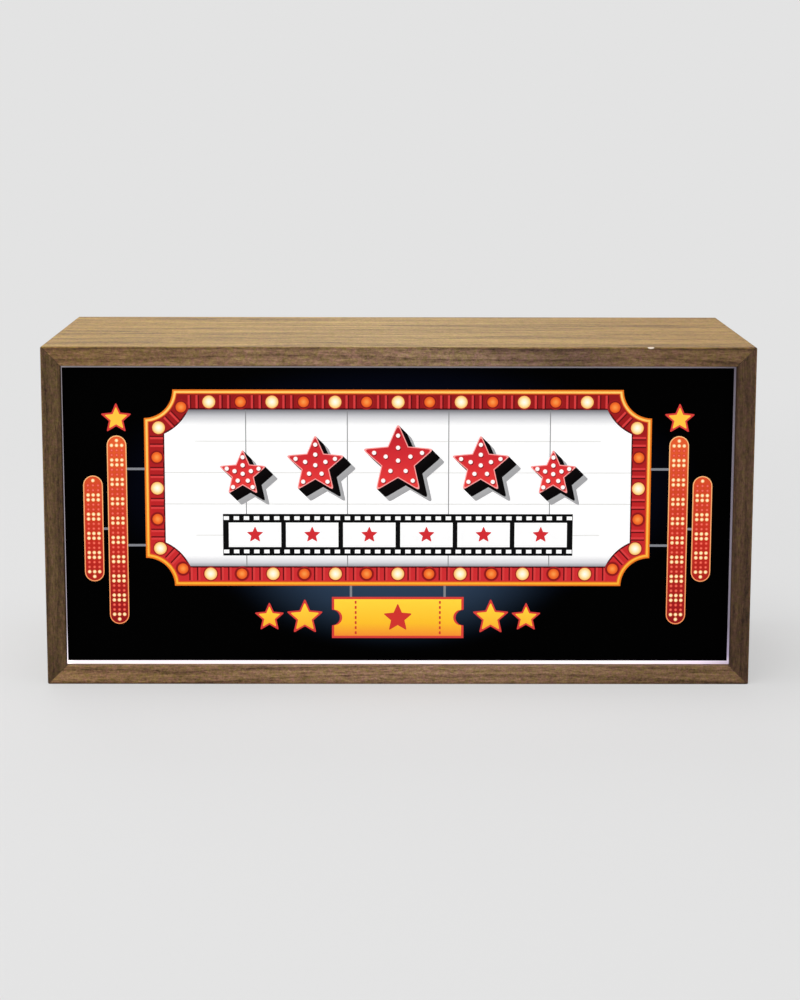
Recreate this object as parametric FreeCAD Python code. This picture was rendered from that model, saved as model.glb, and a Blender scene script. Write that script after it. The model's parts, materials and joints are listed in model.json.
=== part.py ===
import FreeCAD, Part
import math
import os

# A small desk cinema light box: a mitred wooden case with a back-lit printed front.
# Millimetres, +Z up, and the printed front faces -Y.  The origin is on the surface
# that the box stands on, under the middle of the case.

os.makedirs("parts", exist_ok=True)
Vector = FreeCAD.Vector

# Case of four mitred boards
box_width = 210.0
box_height = 101.5
box_depth = 90.0
board_thickness = 5.7
edge_round = 0.5
lip_round = 0.3

# Lit front: the opal sheet sits in a groove, the printed film lies on its face
face_recess = 2.5
film_thickness = 0.2
film_left_margin = 0.2
film_right_margin = 0.6
film_top_margin = 0.7
film_bottom_margin = 1.0
diffuser_thickness = 2.0
groove_depth = 2.5
groove_slack = 0.2
diffuser_slack = 0.3

# Back panel, the board that carries the lights, and the blocks between them
back_recess = 4.5
back_thickness = 3.0
panel_slack = 0.3
reflector_thickness = 2.0
chamber_depth = 28.0
block_side = 12.0

# Pan-head screws in the back, countersunk screws in the reflector board
back_head_radius = 3.0
back_head_height = 1.9
back_shank_radius = 1.5
back_screw_length = 12.0
reflector_head_radius = 2.4
reflector_shank_radius = 1.2
reflector_screw_length = 9.0
screw_hole_slack = 0.15
pilot_slack = 0.03
screw_slot_width = 0.7

# Light strips, their lamps and their resistors
strip_rows = 3
strip_edge_room = 17.05
strip_end_room = 23.9
strip_width = 8.0
strip_thickness = 0.3
lamp_count = 9
lamp_side = 5.0
lamp_height = 1.6
lamp_window_radius = 2.0
lamp_window_depth = 0.2
resistor_length = 3.2
resistor_width = 1.6
resistor_height = 0.6
strip_end_length = 9.0

# Three cells side by side in a tub let into the back panel
cell_count = 3
cell_radius = 7.1
cell_length = 49.3
cell_button_radius = 2.7
cell_button_height = 1.2
cell_edge_round = 0.6
cell_spacing = 14.7
cell_side_room = 0.5
cell_top_room = 0.3
tub_wall = 1.5
tub_side_room = 20.3
flange_width = 4.0
flange_thickness = 1.2
barb_width = 5.0
barb_height = 2.4
barb_reach = 0.8
barb_gap = 0.1
cutout_slack = 0.3
saddle_thickness = 1.4
saddle_height = 4.0
saddle_slack = 0.05

# Contacts at the two ends of the cell bay
plate_thickness = 0.4
plate_width = 9.0
plate_height = 11.0
button_bump_radius = 2.2
button_bump_height = 0.5
spring_gap = 4.6
spring_wire_radius = 0.35
spring_base_radius = 4.0
spring_tip_radius = 2.4
spring_turns = 3
tag_width = 2.6
tag_length = 3.4

# Sliding cover of the cell bay
cover_plate_thickness = 1.2
cover_crown_height = 1.1
cover_slack = 0.1
cover_side_slack = 0.15
rail_wall = 1.0
rail_lip_width = 1.2
rail_lip_thickness = 0.9
grip_rib_count = 6
grip_rib_pitch = 2.4
grip_rib_width = 1.0
grip_rib_length = 18.0
grip_rib_height = 0.5
grip_end_distance = 8.0

# Rocker switch
switch_side_room = 24.3
switch_rise = 13.25
switch_body_width = 8.4
switch_body_length = 13.4
switch_body_depth = 12.0
switch_wall = 0.9
switch_bezel_border = 1.0
switch_bezel_height = 1.6
switch_floor_thickness = 1.2
rocker_side_slack = 0.15
rocker_corner_radius = 5.55
rocker_end_height = 2.1
rocker_valley_height = 1.4
rocker_skirt_depth = 1.6
rocker_skirt_half_length = 3.6
rocker_round = 0.3
rocker_tilt = 10.0
rocker_pivot_depth = 0.4
rocker_axle_radius = 0.8
axle_slack = 0.05
rocker_stem_radius = 1.6
rocker_stem_length = 3.6
plunger_radius = 0.85
plunger_slack = 0.05
plunger_head_length = 1.7
switch_spring_wire_radius = 0.12
switch_spring_coil_radius = 0.6
switch_spring_turns = 4
contact_tilt = 8.0
contact_pivot_depth = 6.7
contact_half_length = 4.1
contact_width = 2.4
contact_thickness = 0.3
contact_gap = 0.1
terminal_width = 2.8
terminal_thickness = 0.6
terminal_length = 5.0
terminal_offset = 3.9

# Round power inlet
inlet_drop = 14.75
inlet_flange_radius = 5.5
inlet_flange_height = 1.6
inlet_body_radius = 4.0
inlet_body_depth = 13.5
inlet_bore_radius = 2.85
inlet_bore_depth = 9.5
inlet_pin_radius = 1.05
inlet_pin_length = 8.5
inlet_pin_chamfer = 0.35
inlet_hole_slack = 0.1
inlet_nut_across_flats = 10.0
inlet_nut_height = 2.2
inlet_tag_width = 2.2
inlet_tag_thickness = 0.5
inlet_tag_length = 4.0
inlet_tag_offset = 2.6

# Insulated leads
lead_radius = 0.65
lead_hole_radius = 3.2
lead_hole_side_room = 15.3
lead_hole_offset = 1.1
lead_pair_offset = 0.75
lead_run_gap = 3.0
lead_first_run = 12.0
lead_side_turn = 9.0
lead_side_swell = 3.0
lead_wave = 4.0
lead_small_wave = 2.0
lead_step = 1.0
lead_hole_run = 2.5
lead_loop_height = 8.7
lead_loop_rise = 1.0
lead_second_loop = 1.5
lead_over_rise = 4.0
lead_deep_gap = 1.25
pad_inset = 3.4
jumper_radius = 0.5
jumper_reach = 7.0
jumper_bulge = 13.0
jumper_pad_offset = 2.2

# Planes and positions worked out from the sizes above
half_width = box_width / 2
front_y = -box_depth / 2
back_y = box_depth / 2
inner_x = half_width - board_thickness
inner_low = board_thickness
inner_high = box_height - board_thickness
middle_z = box_height / 2
film_front = front_y + face_recess
film_back = film_front + film_thickness
diffuser_back = film_back + diffuser_thickness
panel_out = back_y - back_recess
panel_in = panel_out - back_thickness
reflector_back = panel_in - chamber_depth
reflector_front = reflector_back - reflector_thickness
strip_front = reflector_front - strip_thickness
strip_length = 2 * (inner_x - strip_end_room)
lamp_pitch = (strip_length - 2 * strip_end_length) / (lamp_count - 1)
strip_top_z = inner_high - strip_edge_room
strip_row_pitch = (strip_top_z - inner_low - strip_edge_room) / (strip_rows - 1)
lead_hole_x = inner_x - lead_hole_side_room

flange_top = panel_out + flange_thickness
cover_base = flange_top + cover_slack
cover_plate_top = cover_base + cover_plate_thickness
lip_base = cover_plate_top + cover_slack
lip_top = lip_base + rail_lip_thickness
cover_crown_top = cover_plate_top + cover_crown_height
cell_y = cover_base - cell_top_room - cell_radius
bay_floor = cell_y - cell_radius - saddle_slack
tub_floor = bay_floor - tub_wall
cell_full_length = cell_length + cell_button_height
bay_length = cell_full_length + spring_gap + 2 * plate_thickness + button_bump_height
bay_width = (cell_count - 1) * cell_spacing + 2 * cell_radius + 2 * cell_side_room
flange_left = -inner_x + tub_side_room
tub_left = flange_left + flange_width
bay_left = tub_left + tub_wall
bay_right = bay_left + bay_length
bay_low = middle_z - bay_width / 2
bay_high = middle_z + bay_width / 2
tub_right = bay_right + tub_wall
tub_low = bay_low - tub_wall
tub_high = bay_high + tub_wall
flange_right = tub_right + flange_width
flange_low = tub_low - flange_width
flange_high = tub_high + flange_width

switch_x = inner_x - switch_side_room
switch_z = middle_z + switch_rise
inlet_x = switch_x
inlet_z = middle_z - inlet_drop
pivot_y = panel_out + rocker_pivot_depth
switch_back = panel_out - switch_body_depth
contact_y = pivot_y - contact_pivot_depth
plunger_tip_depth = contact_pivot_depth - contact_thickness - contact_gap
rocker_half_width = switch_body_width / 2 - switch_wall - rocker_side_slack
inlet_back = panel_out - inlet_body_depth


def block(x0, x1, y0, y1, z0, z1):
    """A box between two corners."""
    return Part.makeBox(x1 - x0, y1 - y0, z1 - z0, Vector(x0, y0, z0))


def rod(start, end, radius):
    """A round bar from one point to another."""
    run = end - start
    return Part.makeCylinder(radius, run.Length, start, run)


def cone(start, end, start_radius, end_radius):
    """A tapered round bar from one point to another."""
    run = end - start
    return Part.makeCone(start_radius, end_radius, run.Length, start, run)


def prism(points, run):
    """A straight bar whose end face is the polygon through the points."""
    face = Part.Face(Part.makePolygon(points + [points[0]]))
    return face.extrude(run)


def edges_where(shape, test):
    """The straight edges of a shape whose two ends both pass a test."""
    found = []
    for edge in shape.Edges:
        if len(edge.Vertexes) == 2 and all(test(v.Point) for v in edge.Vertexes):
            found.append(edge)
    return found


def near(a, b):
    """Whether two lengths are the same for drawing purposes."""
    return abs(a - b) < 1e-4


def write(node, shape):
    """Save one sub-part under its node's name."""
    shape.exportStep("parts/%s.step" % node)


def write_group(node, shapes):
    """Save several separate solids under one node's name."""
    write(node, Part.makeCompound(shapes))


def rounded_corners(points, share=0.45):
    """A path of straight runs whose corners are arcs, and the radii of the arcs."""
    edges = []
    radii = []
    here = points[0]
    for before, corner, after in zip(points, points[1:], points[2:]):
        way_in = corner - before
        way_out = after - corner
        half_turn = way_in.getAngle(way_out) / 2
        setback = share * min(way_in.Length, way_out.Length)
        radius = setback / math.tan(half_turn)
        way_in.normalize()
        way_out.normalize()
        arc_start = corner - way_in * setback
        arc_end = corner + way_out * setback
        inward = way_out - way_in
        inward.normalize()
        arc_middle = corner + inward * (radius / math.cos(half_turn) - radius)
        edges.append(Part.LineSegment(here, arc_start).toShape())
        edges.append(Part.Arc(arc_start, arc_middle, arc_end).toShape())
        radii.append(radius)
        here = arc_end
    edges.append(Part.LineSegment(here, points[-1]).toShape())
    return Part.Wire(edges), radii


def tube_along(path, radius):
    """A round bar that follows a path of runs and arcs."""
    first = path.OrderedEdges[0]
    start = first.valueAt(first.FirstParameter)
    heading = first.tangentAt(first.FirstParameter)
    ring = Part.Wire([Part.Circle(start, heading, radius).toShape()])
    tube = path.makePipeShell([ring], True, False)
    expected = math.pi * radius ** 2 * path.Length
    if abs(tube.Volume / expected - 1) > 0.01:
        print("tube volume is off by", round(tube.Volume / expected - 1, 4))
    return tube


def lead(name, points, radius):
    """An insulated lead along a route, with its bend radii printed."""
    path, radii = rounded_corners(points)
    print(name, "length", round(path.Length, 1), "radii", [round(r, 1) for r in radii])
    return tube_along(path, radius)


def arc_pair(start, start_way, end, end_way):
    """Two arcs that leave one point and reach another along given directions."""
    span = end - start
    along = span.dot(start_way + end_way)
    bend = 1 - start_way.dot(end_way)
    reach = (math.sqrt(along ** 2 + 2 * bend * span.dot(span)) - along) / (2 * bend)
    first_corner = start + start_way * reach
    last_corner = end - end_way * reach
    meeting = (first_corner + last_corner) * 0.5
    arcs = []
    for a, corner, b in ((start, first_corner, meeting), (meeting, last_corner, end)):
        half_turn = (corner - a).getAngle(b - corner) / 2
        radius = reach / math.tan(half_turn)
        inward = (a + b) * 0.5 - corner
        inward.normalize()
        middle = corner + inward * (radius / math.cos(half_turn) - radius)
        arcs.append(Part.Arc(a, middle, b).toShape())
    return arcs


def coil(base, axis, side, turns, length, base_radius, tip_radius, wire_radius):
    """A compression spring that tapers from its base to its tip along an axis."""
    other = axis.cross(side)
    steps = turns * 4

    def place(step):
        angle = step * math.pi / 2
        share = step / steps
        radius = base_radius + (tip_radius - base_radius) * share
        spoke = side * math.cos(angle) + other * math.sin(angle)
        return base + spoke * radius + axis * (length * share)

    def heading(step):
        angle = step * math.pi / 2
        radius = base_radius + (tip_radius - base_radius) * step / steps
        round_way = (other * math.cos(angle) - side * math.sin(angle)) * radius
        spoke = side * math.cos(angle) + other * math.sin(angle)
        inward = spoke * ((tip_radius - base_radius) / (turns * 2 * math.pi))
        way = round_way + inward + axis * (length / (turns * 2 * math.pi))
        way.normalize()
        return way

    edges = []
    for step in range(steps):
        edges += arc_pair(place(step), heading(step), place(step + 1), heading(step + 1))
    return tube_along(Part.Wire(edges), wire_radius)


def mitred_boards():
    """The four boards of the case, cut from one grooved ring by the mitre planes."""
    outer = block(-half_width, half_width, front_y, back_y, 0, box_height)
    outer = outer.makeFillet(edge_round, outer.Edges)
    opening = block(-inner_x, inner_x, front_y - 1, back_y + 1, inner_low, inner_high)
    groove = block(
        -inner_x - groove_depth,
        inner_x + groove_depth,
        film_back - groove_slack,
        diffuser_back,
        inner_low - groove_depth,
        inner_high + groove_depth,
    )
    ring = outer.cut(opening).cut(groove)

    def on_lip(point):
        beside = near(abs(point.x), inner_x)
        level = near(point.z, inner_low) or near(point.z, inner_high)
        return near(point.y, front_y) and beside and level

    ring = ring.makeFillet(lip_round, edges_where(ring, on_lip))

    far = board_thickness + 1
    left_out = Vector(-half_width - 1, front_y - 1, -1)
    right_out = Vector(half_width + 1, front_y - 1, -1)
    rise = Vector(0, 0, box_height + 2)
    left_in = Vector(-half_width + far, front_y - 1, far)
    right_in = Vector(half_width - far, front_y - 1, far)
    rise_in = Vector(0, 0, box_height - 2 * far)
    depth = Vector(0, box_depth + 2, 0)
    wedges = {
        "bottom_board": [left_out, right_out, right_in, left_in],
        "right_board": [right_out, right_out + rise, right_in + rise_in, right_in],
        "top_board": [right_out + rise, left_out + rise, left_in + rise_in, right_in + rise_in],
        "left_board": [left_out + rise, left_out, left_in, left_in + rise_in],
    }
    for name, corners in wedges.items():
        write(name, ring.common(prism(corners, depth)))


def diffuser():
    """The opal sheet, held all round in the groove of the boards."""
    reach = groove_depth - diffuser_slack
    sheet = block(
        -inner_x - reach,
        inner_x + reach,
        film_back,
        diffuser_back,
        inner_low - groove_depth,
        inner_high + reach,
    )
    write("diffuser", sheet)


def printed_film():
    """The printed film on the face of the opal sheet, cut a little short of the boards."""
    sheet = block(
        -inner_x + film_left_margin,
        inner_x - film_right_margin,
        film_front,
        film_back,
        inner_low + film_bottom_margin,
        inner_high - film_top_margin,
    )
    write("printed_film", sheet)


def corner_places():
    """The centre of each corner block, seen from behind."""
    x = inner_x - block_side / 2
    heights = (inner_low + block_side / 2, inner_high - block_side / 2)
    return [(side * x, z) for side in (-1, 1) for z in heights]


def back_screw(x, z):
    """A pan-head screw with a pointed end and a cross slot, driven towards the front."""
    seat = Vector(x, panel_out, z)
    tip_length = 2 * back_shank_radius
    shank_end = seat - Vector(0, back_screw_length - tip_length, 0)
    head_top = seat + Vector(0, back_head_height, 0)
    head = rod(seat, head_top, back_head_radius)
    crown = [edge for edge in head.Edges if near(edge.BoundBox.YMin, head_top.y)]
    head = head.makeFillet(back_head_height * 0.45, crown)
    shank = rod(seat, shank_end, back_shank_radius)
    tip = cone(shank_end, seat - Vector(0, back_screw_length, 0), back_shank_radius, 0.15)
    slot_half = back_head_radius * 0.55
    slot_low = head_top.y - back_head_height * 0.6
    half = screw_slot_width / 2
    flat_slot = block(x - slot_half, x + slot_half, slot_low, head_top.y + 1, z - half, z + half)
    tall_slot = block(x - half, x + half, slot_low, head_top.y + 1, z - slot_half, z + slot_half)
    return head.fuse([shank, tip]).removeSplitter().cut([flat_slot, tall_slot])


def reflector_screw(x, z):
    """A countersunk screw with a pointed end and a cross slot, driven towards the back."""
    face = Vector(x, reflector_front, z)
    taper = reflector_head_radius - reflector_shank_radius
    neck = face + Vector(0, taper, 0)
    tip_length = 2 * reflector_shank_radius
    shank_end = face + Vector(0, reflector_screw_length - tip_length, 0)
    head = cone(face, neck, reflector_head_radius, reflector_shank_radius)
    shank = rod(neck, shank_end, reflector_shank_radius)
    tip = cone(
        shank_end,
        face + Vector(0, reflector_screw_length, 0),
        reflector_shank_radius,
        0.15,
    )
    slot_half = reflector_head_radius * 0.6
    half = screw_slot_width / 2
    deep = face.y + taper * 0.7
    flat_slot = block(x - slot_half, x + slot_half, face.y - 1, deep, z - half, z + half)
    tall_slot = block(x - half, x + half, face.y - 1, deep, z - slot_half, z + slot_half)
    return head.fuse([shank, tip]).removeSplitter().cut([flat_slot, tall_slot])


def corner_blocks():
    """Pine blocks glued into the corners, with pilot holes from both ends."""
    blocks = []
    half = block_side / 2
    for x, z in corner_places():
        body = block(x - half, x + half, reflector_back, panel_in, z - half, z + half)
        back_pilot = rod(
            Vector(x, panel_in + 1, z),
            Vector(x, panel_out - back_screw_length, z),
            back_shank_radius + pilot_slack,
        )
        front_pilot = rod(
            Vector(x, reflector_back - 1, z),
            Vector(x, reflector_front + reflector_screw_length, z),
            reflector_shank_radius + pilot_slack,
        )
        blocks.append(body.cut([back_pilot, front_pilot]))
    write_group("corner_blocks", blocks)
    write_group("back_screws", [back_screw(x, z) for x, z in corner_places()])
    write_group("reflector_screws", [reflector_screw(x, z) for x, z in corner_places()])


def back_panel():
    """The thin panel let into the back, with holes for the tub, switch and inlet."""
    panel = block(
        -inner_x + panel_slack,
        inner_x - panel_slack,
        panel_in,
        panel_out,
        inner_low + panel_slack,
        inner_high - panel_slack,
    )
    tub_hole = block(
        tub_left - cutout_slack,
        tub_right + cutout_slack,
        panel_in - 1,
        panel_out + 1,
        tub_low - cutout_slack,
        tub_high + cutout_slack,
    )
    switch_hole = block(
        switch_x - switch_body_width / 2 - cutout_slack,
        switch_x + switch_body_width / 2 + cutout_slack,
        panel_in - 1,
        panel_out + 1,
        switch_z - switch_body_length / 2 - cutout_slack,
        switch_z + switch_body_length / 2 + cutout_slack,
    )
    inlet_hole = rod(
        Vector(inlet_x, panel_in - 1, inlet_z),
        Vector(inlet_x, panel_out + 1, inlet_z),
        inlet_body_radius + inlet_hole_slack,
    )
    cuts = [tub_hole, switch_hole, inlet_hole]
    for x, z in corner_places():
        start = Vector(x, panel_in - 1, z)
        end = Vector(x, panel_out + 1, z)
        cuts.append(rod(start, end, back_shank_radius + screw_hole_slack))
    write("back_panel", panel.cut(cuts))


def reflector_board():
    """The white board that carries the light strips, with a hole for the leads."""
    board = block(
        -inner_x + panel_slack,
        inner_x - panel_slack,
        reflector_front,
        reflector_back,
        inner_low + panel_slack,
        inner_high - panel_slack,
    )
    cuts = [
        rod(
            Vector(lead_hole_x, reflector_front - 1, strip_top_z),
            Vector(lead_hole_x, reflector_back + 1, strip_top_z),
            lead_hole_radius,
        )
    ]
    taper = reflector_head_radius - reflector_shank_radius
    hole_radius = reflector_shank_radius + pilot_slack
    for x, z in corner_places():
        face = Vector(x, reflector_front, z)
        neck = face + Vector(0, taper, 0)
        sink = cone(face, neck, reflector_head_radius + pilot_slack, hole_radius)
        cuts.append(sink)
        cuts.append(rod(neck, Vector(x, reflector_back + 1, z), hole_radius))
    write("reflector_board", board.cut(cuts))


def light_strips():
    """Rows of flat strip, each with its lamps and one resistor between lamps."""
    names = ["led_strip_%d" % (row + 1) for row in range(strip_rows)]
    lamps = []
    resistors = []
    for row, name in enumerate(names):
        z = strip_top_z - row * strip_row_pitch
        half = strip_length / 2
        low = z - strip_width / 2
        strip = block(-half, half, strip_front, reflector_front, low, low + strip_width)
        write(name, strip)
        for place in range(lamp_count):
            x = (place - (lamp_count - 1) / 2) * lamp_pitch
            side = lamp_side / 2
            lamp_face = strip_front - lamp_height
            lamp = block(x - side, x + side, lamp_face, strip_front, z - side, z + side)
            window = rod(
                Vector(x, lamp_face, z),
                Vector(x, lamp_face + lamp_window_depth, z),
                lamp_window_radius,
            )
            lamps.append(lamp.cut(window))
            if place == lamp_count - 1:
                continue
            middle = x + lamp_pitch / 2
            resistors.append(
                block(
                    middle - resistor_length / 2,
                    middle + resistor_length / 2,
                    strip_front - resistor_height,
                    strip_front,
                    z - resistor_width / 2,
                    z + resistor_width / 2,
                )
            )
    write_group("led_lamps", lamps)
    write_group("strip_resistors", resistors)


def strip_jumpers():
    """Pairs of short leads that carry the supply from each strip to the next."""
    reds = []
    blacks = []
    y = reflector_front - jumper_radius
    for row in range(strip_rows - 1):
        end = -1 if row % 2 == 0 else 1
        top = strip_top_z - row * strip_row_pitch
        low = top - strip_row_pitch
        red_inset = -end * jumper_pad_offset
        for group, inset in ((reds, red_inset), (blacks, -red_inset)):
            near_x = end * strip_length / 2
            reach = jumper_reach - inset / 2
            bulge = jumper_bulge - inset
            high_z = top - inset
            low_z = low + inset
            turn = jumper_reach
            points = [
                Vector(near_x, y, high_z),
                Vector(near_x + end * reach, y, high_z),
                Vector(near_x + end * bulge, y, high_z - turn),
                Vector(near_x + end * bulge, y, low_z + turn),
                Vector(near_x + end * reach, y, low_z),
                Vector(near_x, y, low_z),
            ]
            group.append(lead("jumper", points, jumper_radius))
    write_group("jumpers_red", reds)
    write_group("jumpers_black", blacks)


def cell_rows():
    """Each cell's height, and the way its button points along X."""
    rows = []
    for place in range(cell_count):
        z = middle_z + (place - (cell_count - 1) / 2) * cell_spacing
        rows.append((z, 1 if place % 2 == 0 else -1))
    return rows


def cell_start(way):
    """The X of a cell's flat end: the spring stands between it and the end plate."""
    plate_face = plate_thickness + spring_gap
    if way > 0:
        return bay_left + plate_face
    return bay_right - plate_face


def cells():
    """Round cells, laid head to tail."""
    for number, (z, way) in enumerate(cell_rows(), 1):
        start = Vector(cell_start(way), cell_y, z)
        shoulder = start + Vector(way * cell_length, 0, 0)
        tip = shoulder + Vector(way * cell_button_height, 0, 0)
        can = rod(start, shoulder, cell_radius)
        can = can.makeFillet(cell_edge_round, [e for e in can.Edges if e.Closed])
        button = rod(shoulder - Vector(way * 0.5, 0, 0), tip, cell_button_radius)
        write("cell_%d" % number, can.fuse(button).removeSplitter())


def contact_plate(at_x, way, z_low, z_high):
    """A flat end plate against a wall of the bay; way points into the bay."""
    x0, x1 = sorted((at_x, at_x + way * plate_thickness))
    half = plate_height / 2
    return block(x0, x1, cell_y - half, cell_y + half, z_low, z_high)


def contacts():
    """End plates, with bumps for the cell buttons, and the springs behind the flat ends."""
    rows = cell_rows()
    plates = []
    springs = []
    half = plate_width / 2
    for wall_x, way in ((bay_left, 1), (bay_right, -1)):
        pairs = [(1, 2), (0, 0)] if way > 0 else [(0, 1), (2, 2)]
        for first, last in pairs:
            low = rows[first][0] - half
            high = rows[last][0] + half
            plate = contact_plate(wall_x, way, low, high)
            face = wall_x + way * plate_thickness
            for z, button_way in rows[first:last + 1]:
                if button_way == way:
                    base = Vector(face, cell_y, z)
                    length = spring_gap
                    springs.append(
                        coil(
                            base + Vector(way * spring_wire_radius, 0, 0),
                            Vector(way, 0, 0),
                            Vector(0, 1, 0),
                            spring_turns,
                            length - 2 * spring_wire_radius,
                            spring_base_radius,
                            spring_tip_radius,
                            spring_wire_radius,
                        )
                    )
                else:
                    bump_base = Vector(face - way * plate_thickness / 2, cell_y, z)
                    bump_top = Vector(face + way * button_bump_height, cell_y, z)
                    bump = cone(bump_base, bump_top, button_bump_radius, button_bump_radius * 0.7)
                    plate = plate.fuse(bump)
            if first == last:
                plate = plate.fuse(solder_tag(wall_x, way, rows[first][0]))
            plates.append(plate.removeSplitter())
    write_group("contact_plates", plates)
    write_group("contact_springs", springs)


def solder_tag(wall_x, way, z):
    """The tag of an end plate that passes out through the end wall of the tub."""
    outside = wall_x - way * (tub_wall + tag_length)
    x0, x1 = sorted((wall_x + way * plate_thickness, outside))
    low = cell_y - plate_height / 2
    half = tag_width / 2
    return block(x0, x1, low, low + plate_thickness, z - half, z + half)


def tag_slot(wall_x, way, z):
    """The slot that a solder tag passes through."""
    x0, x1 = sorted((wall_x + way * 0.01, wall_x - way * (tub_wall + 1)))
    low = cell_y - plate_height / 2 - saddle_slack
    half = tag_width / 2 + saddle_slack
    return block(x0, x1, low, low + plate_thickness + 2 * saddle_slack, z - half, z + half)


def barb(x, z, way):
    """A snap barb on a wall of a moulding that catches behind the back panel."""
    catch = panel_in - barb_gap
    half = barb_width / 2
    points = [
        Vector(x - half, catch, z),
        Vector(x - half, catch, z + way * barb_reach),
        Vector(x - half, catch - barb_height, z),
    ]
    return prism(points, Vector(barb_width, 0, 0))


def battery_tub():
    """The moulded tub: bay, flange on the back panel, guide rails and snap barbs."""
    shell = block(tub_left, tub_right, tub_floor, flange_top, tub_low, tub_high)
    flange = block(flange_left, flange_right, panel_out, flange_top, flange_low, flange_high)
    pieces = [flange]
    for edge, way in ((flange_low, 1), (flange_high, -1)):
        z0, z1 = sorted((edge, edge + way * rail_wall))
        pieces.append(block(flange_left, flange_right, flange_top, lip_top, z0, z1))
        z0, z1 = sorted((edge, edge + way * (rail_wall + rail_lip_width)))
        pieces.append(block(flange_left, flange_right, lip_base, lip_top, z0, z1))
    pieces.append(
        block(
            flange_left,
            flange_left + rail_wall,
            flange_top,
            lip_top,
            flange_low,
            flange_high,
        )
    )
    for share in (0.25, 0.75):
        x = tub_left + share * (tub_right - tub_left)
        pieces.append(barb(x, tub_high, 1))
        pieces.append(barb(x, tub_low, -1))
    tub = shell.fuse(pieces)
    tub = tub.cut(block(bay_left, bay_right, bay_floor, flange_top + 1, bay_low, bay_high))
    saddles = []
    for share in (0.3, 0.7):
        x = bay_left + share * bay_length
        saddle = block(
            x - saddle_thickness / 2,
            x + saddle_thickness / 2,
            bay_floor - tub_wall / 2,
            bay_floor + saddle_height,
            bay_low - tub_wall / 2,
            bay_high + tub_wall / 2,
        )
        for z, _ in cell_rows():
            start = Vector(bay_left, cell_y, z)
            end = Vector(bay_right, cell_y, z)
            saddle = saddle.cut(rod(start, end, cell_radius + saddle_slack))
        saddles.append(saddle)
    tub = tub.fuse(saddles).removeSplitter()
    rows = cell_rows()
    slots = [tag_slot(bay_left, 1, rows[0][0]), tag_slot(bay_right, -1, rows[-1][0])]
    write("battery_tub", tub.cut(slots).removeSplitter())


def battery_cover():
    """The cover that slides out of the rails, with grip ribs near its leading end."""
    left = flange_left + rail_wall + cover_slack
    low = flange_low + rail_wall + cover_side_slack
    high = flange_high - rail_wall - cover_side_slack
    plate = block(left, flange_right, cover_base, cover_plate_top, low, high)
    crown_low = low + rail_lip_width
    crown_high = high - rail_lip_width
    crown = block(left, flange_right, cover_base, cover_crown_top, crown_low, crown_high)
    top_edges = edges_where(crown, lambda p: near(p.y, cover_crown_top))
    crown = crown.makeFillet(cover_crown_height / 2, top_edges)
    ribs = []
    for place in range(grip_rib_count):
        x = flange_right - grip_end_distance - place * grip_rib_pitch
        half = grip_rib_width / 2
        long_half = grip_rib_length / 2
        rib = block(
            x - half,
            x + half,
            cover_plate_top,
            cover_crown_top + grip_rib_height,
            middle_z - long_half,
            middle_z + long_half,
        )
        rib_top = edges_where(rib, lambda p: near(p.y, cover_crown_top + grip_rib_height))
        ribs.append(rib.makeFillet(min(half, grip_rib_height) * 0.8, rib_top))
    write("battery_cover", plate.fuse([crown] + ribs).removeSplitter())


def tilt(shape, degrees, pivot):
    """Turn a shape about an axis along X through a point."""
    turned = shape.copy()
    turned.rotate(pivot, Vector(1, 0, 0), degrees)
    return turned


def switch_housing():
    """The snap-in switch case: bezel outside, open-topped well inside."""
    half_x = switch_body_width / 2
    half_z = switch_body_length / 2
    bezel_top = panel_out + switch_bezel_height
    well = block(
        switch_x - half_x,
        switch_x + half_x,
        switch_back,
        bezel_top,
        switch_z - half_z,
        switch_z + half_z,
    )
    bezel = block(
        switch_x - half_x - switch_bezel_border,
        switch_x + half_x + switch_bezel_border,
        panel_out,
        bezel_top,
        switch_z - half_z - switch_bezel_border,
        switch_z + half_z + switch_bezel_border,
    )
    rim = edges_where(bezel, lambda p: near(p.y, bezel_top))
    bezel = bezel.makeFillet(switch_bezel_border * 0.6, rim)
    barbs = [barb(switch_x, switch_z + way * half_z, way) for way in (-1, 1)]
    housing = well.fuse([bezel] + barbs)
    hollow = block(
        switch_x - half_x + switch_wall,
        switch_x + half_x - switch_wall,
        switch_back + switch_floor_thickness,
        bezel_top + 1,
        switch_z - half_z + switch_wall,
        switch_z + half_z - switch_wall,
    )
    axle_bore = rod(
        Vector(switch_x - half_x - 1, pivot_y, switch_z),
        Vector(switch_x + half_x + 1, pivot_y, switch_z),
        rocker_axle_radius + axle_slack,
    )
    cuts = [hollow, axle_bore]
    for offset in (0, -terminal_offset):
        cuts.append(terminal_box(offset, switch_back - 1, switch_back + 2, saddle_slack))
    write("switch_housing", housing.cut(cuts).removeSplitter())


def terminal_box(offset, y0, y1, slack):
    """The room of one flat switch terminal between two depths."""
    half = terminal_width / 2 + slack
    thin = terminal_thickness / 2 + slack
    z = switch_z + offset
    return block(switch_x - half, switch_x + half, y0, y1, z - thin, z + thin)


def on_valley(edge):
    """Whether an edge is the rocker's valley line."""
    return all(near(v.Point.z, switch_z) for v in edge.Vertexes)


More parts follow.
